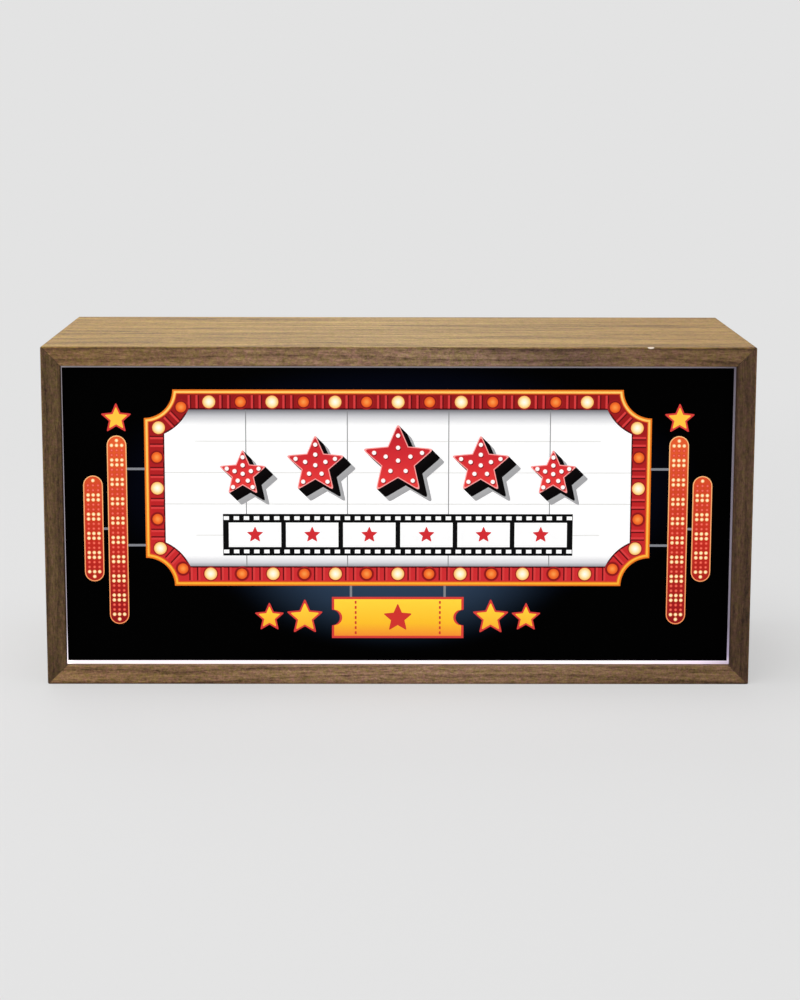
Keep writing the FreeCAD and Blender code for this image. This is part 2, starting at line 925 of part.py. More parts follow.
def switch_rocker():
    """The rocker, pressed in at its upper end: the switch is on."""
    half_long = math.sqrt(rocker_corner_radius ** 2 - rocker_end_height ** 2)
    left = switch_x - rocker_half_width

    def at(z, y):
        return Vector(left, pivot_y + y, switch_z + z)

    outline = [
        at(half_long, rocker_end_height),
        at(0, rocker_valley_height),
        at(-half_long, rocker_end_height),
        at(-half_long, 0),
        at(-rocker_skirt_half_length, -rocker_skirt_depth),
        at(rocker_skirt_half_length, -rocker_skirt_depth),
        at(half_long, 0),
    ]
    cap = prism(outline, Vector(2 * rocker_half_width, 0, 0))
    crest = edges_where(cap, lambda p: p.y > pivot_y + rocker_valley_height - rocker_round)
    crest = [edge for edge in crest if not on_valley(edge)]
    cap = cap.makeFillet(rocker_round, crest)
    centre = Vector(switch_x, pivot_y, switch_z)
    reach = switch_body_width / 2
    axle = rod(centre - Vector(reach, 0, 0), centre + Vector(reach, 0, 0), rocker_axle_radius)
    stem_end = centre - Vector(0, rocker_stem_length, 0)
    stem = rod(centre, stem_end, rocker_stem_radius)
    bore = rod(
        centre - Vector(0, rocker_axle_radius, 0),
        stem_end - Vector(0, 1, 0),
        plunger_radius + plunger_slack,
    )
    rocker = cap.fuse([axle, stem]).removeSplitter().cut(bore)
    write("switch_rocker", tilt(rocker, rocker_tilt, centre))


def switch_plunger():
    """The round-nosed plunger in the rocker's stem, and the spring that pushes it."""
    centre = Vector(switch_x, pivot_y, switch_z)
    nose = centre - Vector(0, plunger_tip_depth - plunger_radius, 0)
    neck = nose + Vector(0, plunger_head_length, 0)
    plunger = rod(nose, neck, plunger_radius)
    plunger = plunger.fuse(Part.makeSphere(plunger_radius, nose)).removeSplitter()
    write("switch_plunger", tilt(plunger, rocker_tilt, centre))
    seat = centre - Vector(0, rocker_axle_radius, 0)
    room = (neck - seat).Length
    spring = coil(
        seat - Vector(0, switch_spring_wire_radius, 0),
        Vector(0, -1, 0),
        Vector(1, 0, 0),
        switch_spring_turns,
        room - 2 * switch_spring_wire_radius,
        switch_spring_coil_radius,
        switch_spring_coil_radius,
        switch_spring_wire_radius,
    )
    write("switch_spring", tilt(spring, rocker_tilt, centre))


def switch_contact():
    """The see-saw strip under the plunger, with a button over the fixed contact."""
    pivot = Vector(switch_x, contact_y, switch_z)
    half = contact_width / 2
    strip = block(
        switch_x - half,
        switch_x + half,
        contact_y,
        contact_y + contact_thickness,
        switch_z - contact_half_length,
        switch_z + contact_half_length,
    )
    strip = strip.makeFillet(
        contact_width * 0.3,
        [e for e in strip.Edges if near(e.Length, contact_thickness)],
    )
    write("switch_contact", tilt(strip, -contact_tilt, pivot))


def switch_terminals():
    """The middle terminal, whose edge carries the see-saw, and the fixed contact."""
    tip_y = switch_back - terminal_length
    cradle_top = contact_y - contact_gap
    cradle = terminal_box(0, tip_y, cradle_top, 0)
    drop = (terminal_offset - terminal_thickness / 2) * math.sin(math.radians(contact_tilt))
    fixed_top = contact_y - drop - 3 * contact_gap
    fixed = terminal_box(-terminal_offset, tip_y, fixed_top, 0)
    write_group("switch_terminals", [cradle, fixed])


def power_inlet():
    """The round inlet: flanged body, centre pin, nut inside the panel, solder tags."""
    face = Vector(inlet_x, panel_out + inlet_flange_height, inlet_z)
    seat = Vector(inlet_x, panel_out, inlet_z)
    back = Vector(inlet_x, inlet_back, inlet_z)
    flange = rod(seat, face, inlet_flange_radius)
    rim = [edge for edge in flange.Edges if near(edge.BoundBox.YMin, face.y)]
    flange = flange.makeFillet(inlet_flange_height * 0.4, rim)
    body = flange.fuse(rod(seat, back, inlet_body_radius)).removeSplitter()
    bore_end = face - Vector(0, inlet_bore_depth, 0)
    body = body.cut(rod(face + Vector(0, 1, 0), bore_end, inlet_bore_radius))
    tags = []
    for offset in (-inlet_tag_offset, 0, inlet_tag_offset):
        body = body.cut(inlet_tag(offset, inlet_back + 1, pilot_slack))
        tags.append(inlet_tag(offset, inlet_back + 1, 0))
    pin_tip = bore_end + Vector(0, inlet_pin_length, 0)
    pin = rod(bore_end, pin_tip, inlet_pin_radius)
    pin_rim = [edge for edge in pin.Edges if near(edge.BoundBox.YMin, pin_tip.y)]
    pin = pin.makeFillet(inlet_pin_chamfer, pin_rim)
    write("inlet_body", body)
    write("inlet_pin", pin)
    write_group("inlet_tags", tags)
    nut_radius = inlet_nut_across_flats / math.sqrt(3)
    corners = []
    for place in range(6):
        angle = math.radians(60 * place)
        corners.append(
            Vector(
                inlet_x + nut_radius * math.cos(angle),
                panel_in - inlet_nut_height,
                inlet_z + nut_radius * math.sin(angle),
            )
        )
    nut = prism(corners, Vector(0, inlet_nut_height, 0))
    hole = rod(seat, Vector(inlet_x, panel_in - inlet_nut_height - 1, inlet_z), inlet_body_radius)
    write("inlet_nut", nut.cut(hole))


def inlet_tag(offset, y1, slack):
    """The room of one inlet solder tag, up to a depth inside the body."""
    half = inlet_tag_width / 2 + slack
    thin = inlet_tag_thickness / 2 + slack
    y0 = inlet_back - inlet_tag_length
    x = inlet_x + offset
    return block(x - thin, x + thin, y0, y1, inlet_z - half, inlet_z + half)


def shifted(point, x=0.0, y=0.0, z=0.0):
    """A point moved by some millimetres."""
    return point + Vector(x, y, z)


def leads():
    """The five leads in the space between the back panel and the reflector board."""
    rows = cell_rows()
    tag_y = cell_y - plate_height / 2 + plate_thickness / 2
    plus_tag = Vector(tub_right + tag_length, tag_y, rows[-1][0])
    minus_tag = Vector(tub_left - tag_length, tag_y, rows[0][0])
    terminal_y = switch_back - terminal_length
    common = Vector(switch_x, terminal_y, switch_z)
    output = Vector(switch_x, terminal_y, switch_z - terminal_offset)
    inlet_y = inlet_back - inlet_tag_length
    supply_pin = Vector(inlet_x, inlet_y, inlet_z)
    sleeve = Vector(inlet_x + inlet_tag_offset, inlet_y, inlet_z)
    cut_out = Vector(inlet_x - inlet_tag_offset, inlet_y, inlet_z)
    run_y = reflector_back + lead_run_gap
    hole = Vector(lead_hole_x, run_y, strip_top_z)
    pad = Vector(strip_length / 2 - pad_inset, strip_front, strip_top_z)

    end = shifted(common, x=-lead_pair_offset)
    bend = Vector(end.x, run_y, end.z)
    start_bend = shifted(plus_tag, x=lead_first_run)
    battery_plus = [
        plus_tag,
        start_bend,
        shifted(start_bend + (bend - start_bend) * 0.34, y=-lead_wave, z=lead_small_wave),
        shifted(start_bend + (bend - start_bend) * 0.67, y=-lead_small_wave, z=lead_small_wave),
        bend,
        end,
    ]
    bend = Vector(cut_out.x, run_y, cut_out.z)
    left_bend = shifted(minus_tag, x=-lead_side_turn)
    side_y = (minus_tag.y + run_y) / 2
    low_bend = Vector(minus_tag.x, run_y + lead_step, minus_tag.z - lead_wave)
    battery_minus = [
        minus_tag,
        left_bend,
        Vector(left_bend.x - lead_side_swell, side_y, left_bend.z - lead_small_wave),
        low_bend,
        shifted(low_bend + (bend - low_bend) * 0.19, z=-lead_wave),
        shifted(low_bend + (bend - low_bend) * 0.42, y=lead_step, z=-lead_wave + lead_step),
        shifted(low_bend + (bend - low_bend) * 0.65, z=-lead_wave - lead_small_wave),
        shifted(low_bend + (bend - low_bend) * 0.85, z=-lead_wave + lead_step),
        bend,
        cut_out,
    ]
    red_hole = shifted(hole, y=lead_hole_run, z=-lead_hole_offset)
    red_pad = shifted(pad, z=-jumper_pad_offset)
    over_y = run_y + lead_small_wave
    rise = red_hole.z - output.z
    switched_plus = [
        output,
        Vector(output.x, over_y, output.z),
        Vector(lead_hole_x - lead_step, over_y, output.z + rise * 0.42),
        red_hole,
        Vector(red_hole.x, strip_front - lead_loop_height, red_hole.z),
        shifted(red_pad, y=-lead_loop_height - lead_loop_rise),
        red_pad,
    ]
    black_hole = shifted(hole, y=lead_hole_run + lead_over_rise, z=lead_hole_offset)
    black_pad = shifted(pad, z=jumper_pad_offset)
    loop_height = lead_loop_height + lead_second_loop
    rise = black_hole.z - sleeve.z
    supply_minus = [
        sleeve,
        Vector(sleeve.x, run_y, sleeve.z),
        Vector(lead_hole_x + lead_step, run_y, sleeve.z + rise * 0.23),
        Vector(lead_hole_x + lead_wave, run_y + lead_wave, sleeve.z + rise * 0.6),
        black_hole,
        Vector(black_hole.x, strip_front - loop_height, black_hole.z),
        shifted(black_pad, y=-loop_height - lead_loop_rise),
        black_pad,
    ]
    end = shifted(common, x=lead_pair_offset)
    deep_y = reflector_back + lead_deep_gap
    rise = end.z - supply_pin.z
    supply_plus = [
        supply_pin,
        Vector(supply_pin.x, run_y, supply_pin.z),
        Vector(supply_pin.x + lead_side_swell, deep_y, supply_pin.z + rise * 0.36),
        Vector(supply_pin.x + lead_side_swell, deep_y - 0.1 * lead_step, supply_pin.z + rise * 0.7),
        Vector(end.x, run_y, end.z),
        end,
    ]
    write("lead_battery_plus", lead("battery plus", battery_plus, lead_radius))
    write("lead_battery_minus", lead("battery minus", battery_minus, lead_radius))
    write("lead_switched_plus", lead("switched plus", switched_plus, lead_radius))
    write("lead_supply_minus", lead("supply minus", supply_minus, lead_radius))
    write("lead_supply_plus", lead("supply plus", supply_plus, lead_radius))


mitred_boards()
diffuser()
printed_film()
corner_blocks()
back_panel()
reflector_board()
light_strips()
strip_jumpers()
battery_tub()
cells()
contacts()
battery_cover()
switch_housing()
switch_rocker()
switch_plunger()
switch_contact()
switch_terminals()
power_inlet()
leads()
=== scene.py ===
import json
import math

import bmesh
import bpy
from mathutils import Matrix, Vector


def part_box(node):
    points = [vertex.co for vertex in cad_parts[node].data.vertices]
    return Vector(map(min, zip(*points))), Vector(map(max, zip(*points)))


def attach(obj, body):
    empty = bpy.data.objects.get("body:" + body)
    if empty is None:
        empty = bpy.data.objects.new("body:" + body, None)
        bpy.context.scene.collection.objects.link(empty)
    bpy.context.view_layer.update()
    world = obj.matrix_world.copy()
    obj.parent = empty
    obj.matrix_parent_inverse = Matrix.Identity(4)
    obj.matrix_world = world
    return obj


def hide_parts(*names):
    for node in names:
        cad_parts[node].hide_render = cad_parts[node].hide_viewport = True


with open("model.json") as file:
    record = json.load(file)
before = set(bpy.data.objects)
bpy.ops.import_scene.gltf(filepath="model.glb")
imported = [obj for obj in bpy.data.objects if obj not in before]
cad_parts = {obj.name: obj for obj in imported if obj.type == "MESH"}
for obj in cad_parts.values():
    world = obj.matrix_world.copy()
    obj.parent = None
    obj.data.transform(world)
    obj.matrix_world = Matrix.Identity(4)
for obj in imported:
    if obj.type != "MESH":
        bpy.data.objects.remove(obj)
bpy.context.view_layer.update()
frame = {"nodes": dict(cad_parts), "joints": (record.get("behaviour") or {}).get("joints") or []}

nodes = frame["nodes"]

# ======== Camera ========
# A long lens in front of the box and a little above it, turned a third of a degree to the right,
# so that the top shows as a shallow strip and the front stays almost square to the picture.
mm = 0.001
picture_side = 1000
focal_pixels = 2408.5
stand = Vector((-3.97, -746.71, 178.94)) * mm
turned, tipped, rolled = (math.radians(angle) for angle in (0.356, 9.930, 0.116))

ahead = Vector((math.sin(turned), math.cos(turned), -math.tan(tipped))) * math.cos(tipped)
level = Vector((math.cos(turned), -math.sin(turned), 0))
upright = level.cross(ahead)
side_axis = math.cos(rolled) * level + math.sin(rolled) * upright
up_axis = -math.sin(rolled) * level + math.cos(rolled) * upright
lens = bpy.data.cameras.new("camera")
lens.sensor_width = 36
lens.lens = focal_pixels / picture_side * lens.sensor_width
lens.clip_start, lens.clip_end = 0.02, 20
camera = bpy.data.objects.new("camera", lens)
camera.matrix_world = Matrix.Translation(stand) @ Matrix((side_axis, up_axis, -ahead)).transposed().to_4x4()
bpy.context.scene.collection.objects.link(camera)
bpy.context.scene.camera = camera


# ======== Case boards ========
# Four 5.7 mm hardwood boards, glued at mitred corners and finished with a satin lacquer. The grain
# runs along each board, and the two side boards come from darker stock than the top and bottom.
def tint(red, green, blue):
    """The linear colour of an 8-bit screen colour."""
    scaled = [channel / 255 for channel in (red, green, blue)]
    return (*(c / 12.92 if c <= 0.04045 else ((c + 0.055) / 1.055) ** 2.4 for c in scaled), 1.0)


def shade(colour, factor):
    """A colour with each channel times a factor."""
    return (*(channel * factor for channel in colour[:3]), 1.0)


class Signal:
    """One socket of a finish, so that masks and heights are written as sums."""

    def __init__(self, finish, socket):
        self.finish = finish
        self.socket = socket

    def join(self, operation, first, second):
        return self.finish.node("ShaderNodeMath", {"operation": operation}, {0: first, 1: second})

    def __add__(self, other):
        return self.join("ADD", self, other)

    def __sub__(self, other):
        return self.join("SUBTRACT", self, other)

    def __rsub__(self, other):
        return self.join("SUBTRACT", other, self)

    def __mul__(self, other):
        return self.join("MULTIPLY", self, other)

    def __truediv__(self, other):
        return self.join("DIVIDE", self, other)

    def __abs__(self):
        return self.join("ABSOLUTE", self, 0)

    __radd__ = __add__
    __rmul__ = __mul__

    def fraction(self):
        return self.join("FRACT", self, 0)

    def squared(self):
        return self.join("POWER", self, 2)

    def below(self, edge, soft):
        """1 under the edge and 0 over it, with a soft step between."""
        ends = {"Value": self, "From Min": edge - soft, "From Max": edge + soft, "To Min": 1, "To Max": 0}
        return self.finish.node("ShaderNodeMapRange", {"interpolation_type": "SMOOTHSTEP"}, ends)

    def above(self, edge, soft):
        """1 over the edge and 0 under it, with a soft step between."""
        return 1 - self.below(edge, soft)

    def ramp(self, *stops):
        """Colours or greys set at places along 0 to 1."""
        return self.finish.node("ShaderNodeValToRGB", {"stops": stops}, {0: self})


class Finish:
    """A material for one of the box's surfaces, with its constants straight on the shader."""

    def __init__(self, name, **constants):
        self.material = bpy.data.materials.new(name)
        self.material.use_nodes = True
        self.tree = self.material.node_tree
        self.shader = self.tree.nodes["Principled BSDF"]
        for words, value in constants.items():
            self.shader.inputs[words.replace("_", " ")].default_value = value

    def node(self, kind, settings, sockets, out=0):
        """Any node: its settings first, then the values and links of its sockets."""
        made = self.tree.nodes.new(kind)
        for word, value in settings.items():
            if word == "stops":
                self.set_stops(made.color_ramp, value)
            else:
                setattr(made, word, value)
        for place, value in sockets.items():
            if isinstance(value, Signal):
                self.tree.links.new(value.socket, made.inputs[place])
            else:
                made.inputs[place].default_value = value
        return Signal(self, made.outputs[out])

    def set_stops(self, band, stops):
        while len(band.elements) < len(stops):
            band.elements.new(1)
        for element, (place, colour) in zip(band.elements, stops):
            element.position = place
            element.color = colour if isinstance(colour, tuple) else (colour, colour, colour, 1)

    def place(self):
        return self.node("ShaderNodeTexCoord", {}, {}, "Object")

    def axis(self, letter, place=None):
        return self.node("ShaderNodeSeparateXYZ", {}, {0: place or self.place()}, letter)

    def mapped(self, scale, turn=(0, 0, 0), shift=(0, 0, 0), place=None):
        sockets = {"Vector": place or self.place(), "Location": shift, "Rotation": turn, "Scale": scale}
        return self.node("ShaderNodeMapping", {}, sockets)

    def noise(self, scale, detail=2, rough=0.5, place=None):
        """Cloudy noise with its scale, in turns per metre, along each axis."""
        spread = self.mapped(scale, place=place)
        sockets = {"Vector": spread, "Scale": 1, "Detail": detail, "Roughness": rough}
        return self.node("ShaderNodeTexNoise", {}, sockets)

    def blend(self, first, second, factor, way="MIX"):
        settings = {"data_type": "RGBA", "blend_type": way}
        return self.node("ShaderNodeMix", settings, {0: factor, 6: first, 7: second}, 2)

    def feed(self, socket, signal):
        self.tree.links.new(signal.socket, self.shader.inputs[socket])

    def relief(self, height, depth):
        """A bump whose height signal of 1 stands depth metres proud."""
        self.feed("Normal", self.node("ShaderNodeBump", {}, {"Height": height, "Distance": depth}))

    def put_on(self, *objects):
        for thing in objects:
            if thing.data.materials:
                for slot in thing.material_slots:
                    slot.material = self.material
            else:
                thing.data.materials.append(self.material)


box_half_width, box_half_depth, box_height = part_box("top_board")[1]
quarter = math.radians(90)


def lacquered_board(name, node, turn, shift, tone, tone_and_painted_shade, painted_light_on_outer_faces=None):
    """A board's finish: rings, fibres, pores and mitre lines, with its tone and painted shade from left to
    right, painted light on the outer faces and painted shade along the arrises.
    """
    wood = Finish(name, Specular_IOR_Level=0.18)
    laid = wood.mapped((1, 1, 1), turn, shift)
    width, thick = wood.axis("Y", laid), wood.axis("Z", laid)
    drift = wood.noise((9, 60, 60), 3, place=laid)
    rings = (thick * 290 + width * 30 + drift * 3.2).fraction()
    band = rings.ramp((0.0, 0.5), (0.6, 0.56), (0.86, 0.05), (0.92, 0.0), (1.0, 0.5))
    streak = wood.noise((14, 300, 300), 5, 0.62, laid)
    fibre = wood.noise((300, 1700, 1700), 4, 0.75, laid)
    speck = wood.noise((1300, 1300, 1300), 3, 0.8, laid)
    fleck = wood.noise((1500, 700, 1500), 3, 0.8, laid)
    depth = streak * 0.75 + fibre * 0.95 + speck * 0.5 + fleck * 0.45 + band * 0.28 - 0.995
    browns = (192, 158, 116), (150, 118, 84), (88, 64, 44)
    pale, mid, dark = (shade(tint(*brown), tone) for brown in browns)
    body = depth.ramp((0.18, dark), (0.5, mid), (0.8, pale))
    mottle = wood.noise((900, 800, 900), 3, 0.8, laid)
    warm = mottle.ramp((0.34, (0.9, 1.05, 0.62, 1)), (0.5, (1, 1, 1, 1)), (0.66, (1.1, 0.94, 1.3, 1)))
    body = wood.blend(body, warm, 1.0, "MULTIPLY")
    pore = wood.noise((330, 4600, 4600), place=laid).above(0.64, 0.05)
    body = wood.blend(body, shade(tint(56, 38, 27), tone), pore * 0.5)

    along, up = wood.axis("X"), wood.axis("Z")
    from_left = along / (2 * box_half_width) + 0.5
    # A ramp from left to right multiplies the board: partly the wood's own tone and figure, and partly
    # painted shade that darkens the top and bottom boards towards their right ends.
    toned_and_painted = from_left.ramp(*tone_and_painted_shade)
    # The second ramp is painted light: it makes the top face and the outer side faces lighter and warmer
    # than the front.
    if painted_light_on_outer_faces:
        side = abs(along).above(box_half_width - 0.25 * mm, 0.13 * mm)
        top = up.above(box_height - 0.35 * mm, 0.2 * mm)
        toned_and_painted = wood.blend(toned_and_painted, from_left.ramp(*painted_light_on_outer_faces), side + top)
    body = wood.blend(body, toned_and_painted, 1.0, "MULTIPLY")

    height = abs(up - box_height / 2)
    mitre = abs(abs(along) - height - (box_half_width - box_height / 2))
    seam = mitre.below(0.14 * mm, 0.12 * mm)
    body = wood.blend(body, shade(tint(62, 44, 31), tone), seam * 0.7)
    # Painted shade: the front and back faces are darkened along the box's top and bottom edges, where the
    # eased arris turns from the light.
    near_face = abs(wood.axis("Y")).above(box_half_depth - 0.7 * mm, 0.3 * mm)
    painted_arris_shade = near_face * height.above(box_height / 2 - 0.7 * mm, 0.25 * mm)
    body = wood.blend(body, (0.6, 0.56, 0.52, 1), painted_arris_shade * (0.25 + drift * 0.8), "MULTIPLY")
    nick_x, nick_reach = 73.8 * mm, Vector((1.1, 0.9, 0.5)) * mm
    nick = ((along - nick_x) / nick_reach.x).squared() + ((up - box_height) / nick_reach.z).squared()
    nick = (nick + ((wood.axis("Y") + box_half_depth) / nick_reach.y).squared()).below(0.8, 0.3)
    wood.feed("Base Color", wood.blend(body, tint(238, 222, 204), nick))
    wood.feed("Roughness", fibre * 0.2 + pore * 0.2 + 0.5)
    wood.relief(fibre * 0.6 - pore * 0.9 + streak * 0.6 - seam * 1.4, 0.05 * mm)
    wood.put_on(nodes[node])


# Each board gets its tone and painted shade from left to right; all but the bottom board also get painted
# light on their top and outer side faces.
lacquered_board(
    "walnut_top", "top_board", (0, 0, 0), (0.31, 0.013, 0), 1.0,
    ((0.05, (0.68, 0.62, 0.5, 1)), (0.5, (1.06, 1.08, 1.2, 1)), (0.58, (1.02, 1.05, 1.22, 1)),
     (0.65, (0.65, 0.63, 0.75, 1)), (0.75, (0.48, 0.45, 0.53, 1)), (0.82, (0.64, 0.6, 0.62, 1)),
     (0.92, (0.56, 0.52, 0.48, 1))),
    ((0.05, (1.16, 1.14, 0.57, 1)), (0.5, (1.27, 1.34, 0.93, 1)), (0.92, (1.04, 1.0, 0.56, 1))),
)
lacquered_board(
    "walnut_bottom", "bottom_board", (0, 0, 0), (0.83, 0.029, 0.0012), 0.95,
    ((0.05, (0.99, 0.94, 0.82, 1)), (0.5, (1.09, 1.09, 1.2, 1)), (0.92, (0.77, 0.74, 0.7, 1))),
)
lacquered_board(
    "walnut_left", "left_board", (0, quarter, 0), (0.12, 0.041, 0), 0.4,
    ((0, (0.86, 0.8, 0.66, 1)), (1, (0.86, 0.8, 0.66, 1))),
    ((0, (1.5, 1.44, 1.3, 1)), (1, (1.5, 1.44, 1.3, 1))),
)
lacquered_board(
    "walnut_right", "right_board", (0, quarter, 0), (0.57, 0.007, 0.0007), 0.32,
    ((0, (0.88, 0.77, 0.76, 1)), (1, (0.88, 0.77, 0.76, 1))),
    ((0, (1.9, 1.76, 1.6, 1)), (1, (1.9, 1.76, 1.6, 1))),
)


# ======== Corner blocks ========
# Square softwood battens glued into the case's four corners. Both boards inside and the back
# panel are screwed to them, and only pale straight grain shows on them.
batten = Finish("pine", Roughness=0.7, Specular_IOR_Level=0.2)
grain = batten.noise((420, 36, 420), 4)
batten.feed("Base Color", grain.ramp(
    (0.3, tint(214, 172, 116)), (0.55, tint(234, 200, 150)), (0.75, tint(240, 214, 170))))
batten.relief(grain, 0.08 * mm)
batten.put_on(nodes["corner_blocks"])


# ======== Opal sheet ========
# A 2 mm milky acrylic sheet held in the boards' grooves. The light strips behind it make it glow, which is
# painted
# on as emission: brightest in the open line under the film and dimmer where the boards shade its other
# edges.
opal = Finish("opal", Roughness=0.35, Emission_Strength=0.85)
film_low, film_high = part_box("printed_film")
rise = (opal.axis("Z") - film_low.z) / (film_high.z - film_low.z)
from_left = opal.axis("X") / (2 * box_half_width) + 0.5
lit_by_height = rise.ramp(
    (0, tint(250, 238, 243)), (0.012, tint(232, 226, 238)), (0.12, tint(132, 127, 140)),
    (1, tint(100, 95, 100)))
lit_by_width = from_left.ramp(
    (0.03, (1.9, 1.85, 1.8, 1)), (0.036, (1, 1, 1, 1)), (0.82, (1, 1, 1, 1)), (0.93, tint(226, 215, 236)),
    (0.965, tint(170, 158, 182)))
opal.feed("Emission Color", opal.blend(lit_by_height, lit_by_width, 1.0, "MULTIPLY"))
# The sheet's white is painted grey as painted shade where the boards shade its edges, a little lighter in
# the open line under the film.
opal.feed("Base Color", rise.ramp(
    (0, tint(206, 204, 208)), (0.02, tint(140, 137, 142)), (1, tint(112, 108, 114))))
opal.put_on(nodes["diffuser"])


# ======== Printed film: ground ========
# A clear film printed on its face and laid on the opal sheet. Each ink stands one hair of
# thickness over the ink under it, and light from behind makes the colours glow. The ground is
# black, with a faint night-blue glow under the sign.
film_middle = (film_low + film_high) / 2
film_body = 0.03 * mm
ink_thickness = 0.013 * mm
ink_reflects = 0.5
sign_middle = 8.2


def piece(name, mesh, finish, body, slot, *replaced):
    """A new object in its place, riding its body, with its finish; the slot argument is not used."""
    made = bpy.data.objects.new(name, mesh)
    bpy.context.scene.collection.objects.link(made)
    finish.put_on(made)
    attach(made, body)
    if replaced:
        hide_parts(*replaced)


def print_piece(name, mesh, layer, finish):
    """One ink of the picture, stood up on the film: x and y become right and up from its middle."""
    face = Vector((film_middle.x, film_high.y - film_body - ink_thickness * layer, film_middle.z))
    mesh.transform(Matrix.Translation(face) @ Matrix.Rotation(quarter, 4, "X"))
    piece(name, mesh, finish, "case", "printed_film", "printed_film")


def cut_shape(outlines, thickness=ink_thickness):
    """A flat shape from closed outlines in mm, its front at z = 0; an outline inside another is a hole."""
    curve = bpy.data.curves.new("outline", "CURVE")
    curve.dimensions, curve.fill_mode, curve.extrude = "2D", "BOTH", thickness / 2
    for outline in outlines:
        spline = curve.splines.new("POLY")
        spline.points.add(len(outline) - 1)
        for point, (across, up) in zip(spline.points, outline):
            point.co = (across * mm, up * mm, 0, 1)
        spline.use_cyclic_u = True
    drawn = bpy.data.objects.new("outline", curve)
    mesh = bpy.data.meshes.new_from_object(drawn)
    bpy.data.objects.remove(drawn)
    solid = bmesh.new()
    solid.from_mesh(mesh)
    bmesh.ops.remove_doubles(solid, verts=solid.verts, dist=1e-7)
    bmesh.ops.recalc_face_normals(solid, faces=solid.faces)
    bmesh.ops.translate(solid, verts=solid.verts, vec=(0, 0, -thickness / 2))
    solid.to_mesh(mesh)
    solid.free()
    return mesh


def ink(name, colour=(0, 0, 0, 1), gloss=0.04):
    """A back-lit print colour: part of what shows is reflected and the rest is its own light."""
    return Finish(name, Base_Color=shade(colour, ink_reflects), Emission_Color=colour,
                  Emission_Strength=0.62, Roughness=0.6, Specular_IOR_Level=gloss)


def lit_with(finish, signal):
    """Gives an ink a colour that changes over it."""
    dim = (ink_reflects, ink_reflects, ink_reflects, 1)
    finish.feed("Base Color", finish.blend(signal, dim, 1.0, "MULTIPLY"))
    finish.feed("Emission Color", signal)
    return finish


def by_height(name, low, high, *stops):
    """An ink that changes from one height on the film to another, in mm from its middle."""
    finish = ink(name)
    climb = (finish.axis("Z") - film_middle.z - low * mm) / ((high - low) * mm)
    return lit_with(finish, climb.ramp(*stops))


def bar(left, right, low, high):
    """A rectangle in mm."""
    return [(left, low), (right, low), (right, high), (left, high)]


night = ink("film_black", gloss=0.01)
aside, over = night.axis("X") - film_middle.x, night.axis("Z") - film_middle.z
low_glow = (aside / (57 * mm)).squared() + ((over + 15.6 * mm) / (28 * mm)).squared()
wide_glow = (aside / (92 * mm)).squared() + ((over - sign_middle * mm) / (40 * mm)).squared()
under_sign = night.blend((0, 0, 0, 1), tint(44, 61, 82), low_glow.below(0.5, 0.5).squared())
lit_with(night, night.blend(under_sign, tint(4, 7, 20), wide_glow.below(0.7, 0.3), "ADD"))
half_film = (film_high - film_low) / 2 / mm
whole_film = bar(-half_film.x, half_film.x, -half_film.z, half_film.z)
print_piece("print_ground", cut_shape([whole_film], film_body), 0, night)


# ======== Printed film: sign ========
# The sign is printed as a plaque with scooped corners: an orange and a yellow rim, a red channel
# with folds and round lamps, and a white board whose panels meet in thin grey seams.
sign_half_wide, sign_half_tall, scoop = 75, 29.5, 8.5
rim, channel, thin_line = 1.35, 4.6, 0.45
board_inset = rim + channel
scoop_steps = 14
board_half_wide, board_half_tall = sign_half_wide - board_inset, sign_half_tall - board_inset
sign_low, sign_high = sign_middle - sign_half_tall, sign_middle + sign_half_tall
board_low, board_high = sign_middle - board_half_tall, sign_middle + board_half_tall


def arc(middle, radius, start, stop, steps):
    """Points along an arc, in degrees."""
    angles = [math.radians(start + (stop - start) * step / steps) for step in range(steps + 1)]
    return [(middle[0] + radius * math.cos(a), middle[1] + radius * math.sin(a)) for a in angles]


def plaque(inset):
    """The sign's outline, drawn in by an even distance."""
    radius = scoop + inset
    lean = math.degrees(math.asin(inset / radius))
    points = []
    for (across, up), start in zip(((1, 1), (-1, 1), (-1, -1), (1, -1)), (270, 360, 90, 180)):
        middle = (across * sign_half_wide, sign_middle + up * sign_half_tall)
        points += arc(middle, radius, start - lean, start - 90 + lean, scoop_steps)
    return points


for name, inset, layer, finish in (
    ("print_rim_orange", 0, 1, ink("rim_orange", tint(232, 118, 30))),
    ("print_rim_yellow", thin_line, 2, by_height(
        "rim_yellow", sign_low, sign_high, (0, tint(250, 176, 52)), (1, tint(255, 206, 104)))),
    ("print_rim_line", rim - 0.3, 3, ink("rim_line", tint(226, 96, 32))),
    ("print_channel", rim, 4, by_height(
        "channel_red", sign_low, sign_high,
        (0, tint(206, 46, 50)), (0.35, tint(190, 36, 38)), (1, tint(142, 24, 26)))),
    ("print_channel_edge", board_inset - thin_line, 5, ink("channel_edge", tint(74, 10, 16))),
    ("print_board", board_inset, 6, by_height(
        "board_white", board_low, board_high,
        (0.0, tint(150, 150, 156)), (0.025, tint(214, 214, 218)), (0.07, tint(254, 254, 254)),
        (0.9, tint(254, 254, 254)), (0.96, tint(200, 200, 204)), (1.0, tint(112, 112, 118)))),
):
    print_piece(name, cut_shape([plaque(inset)]), layer, finish)

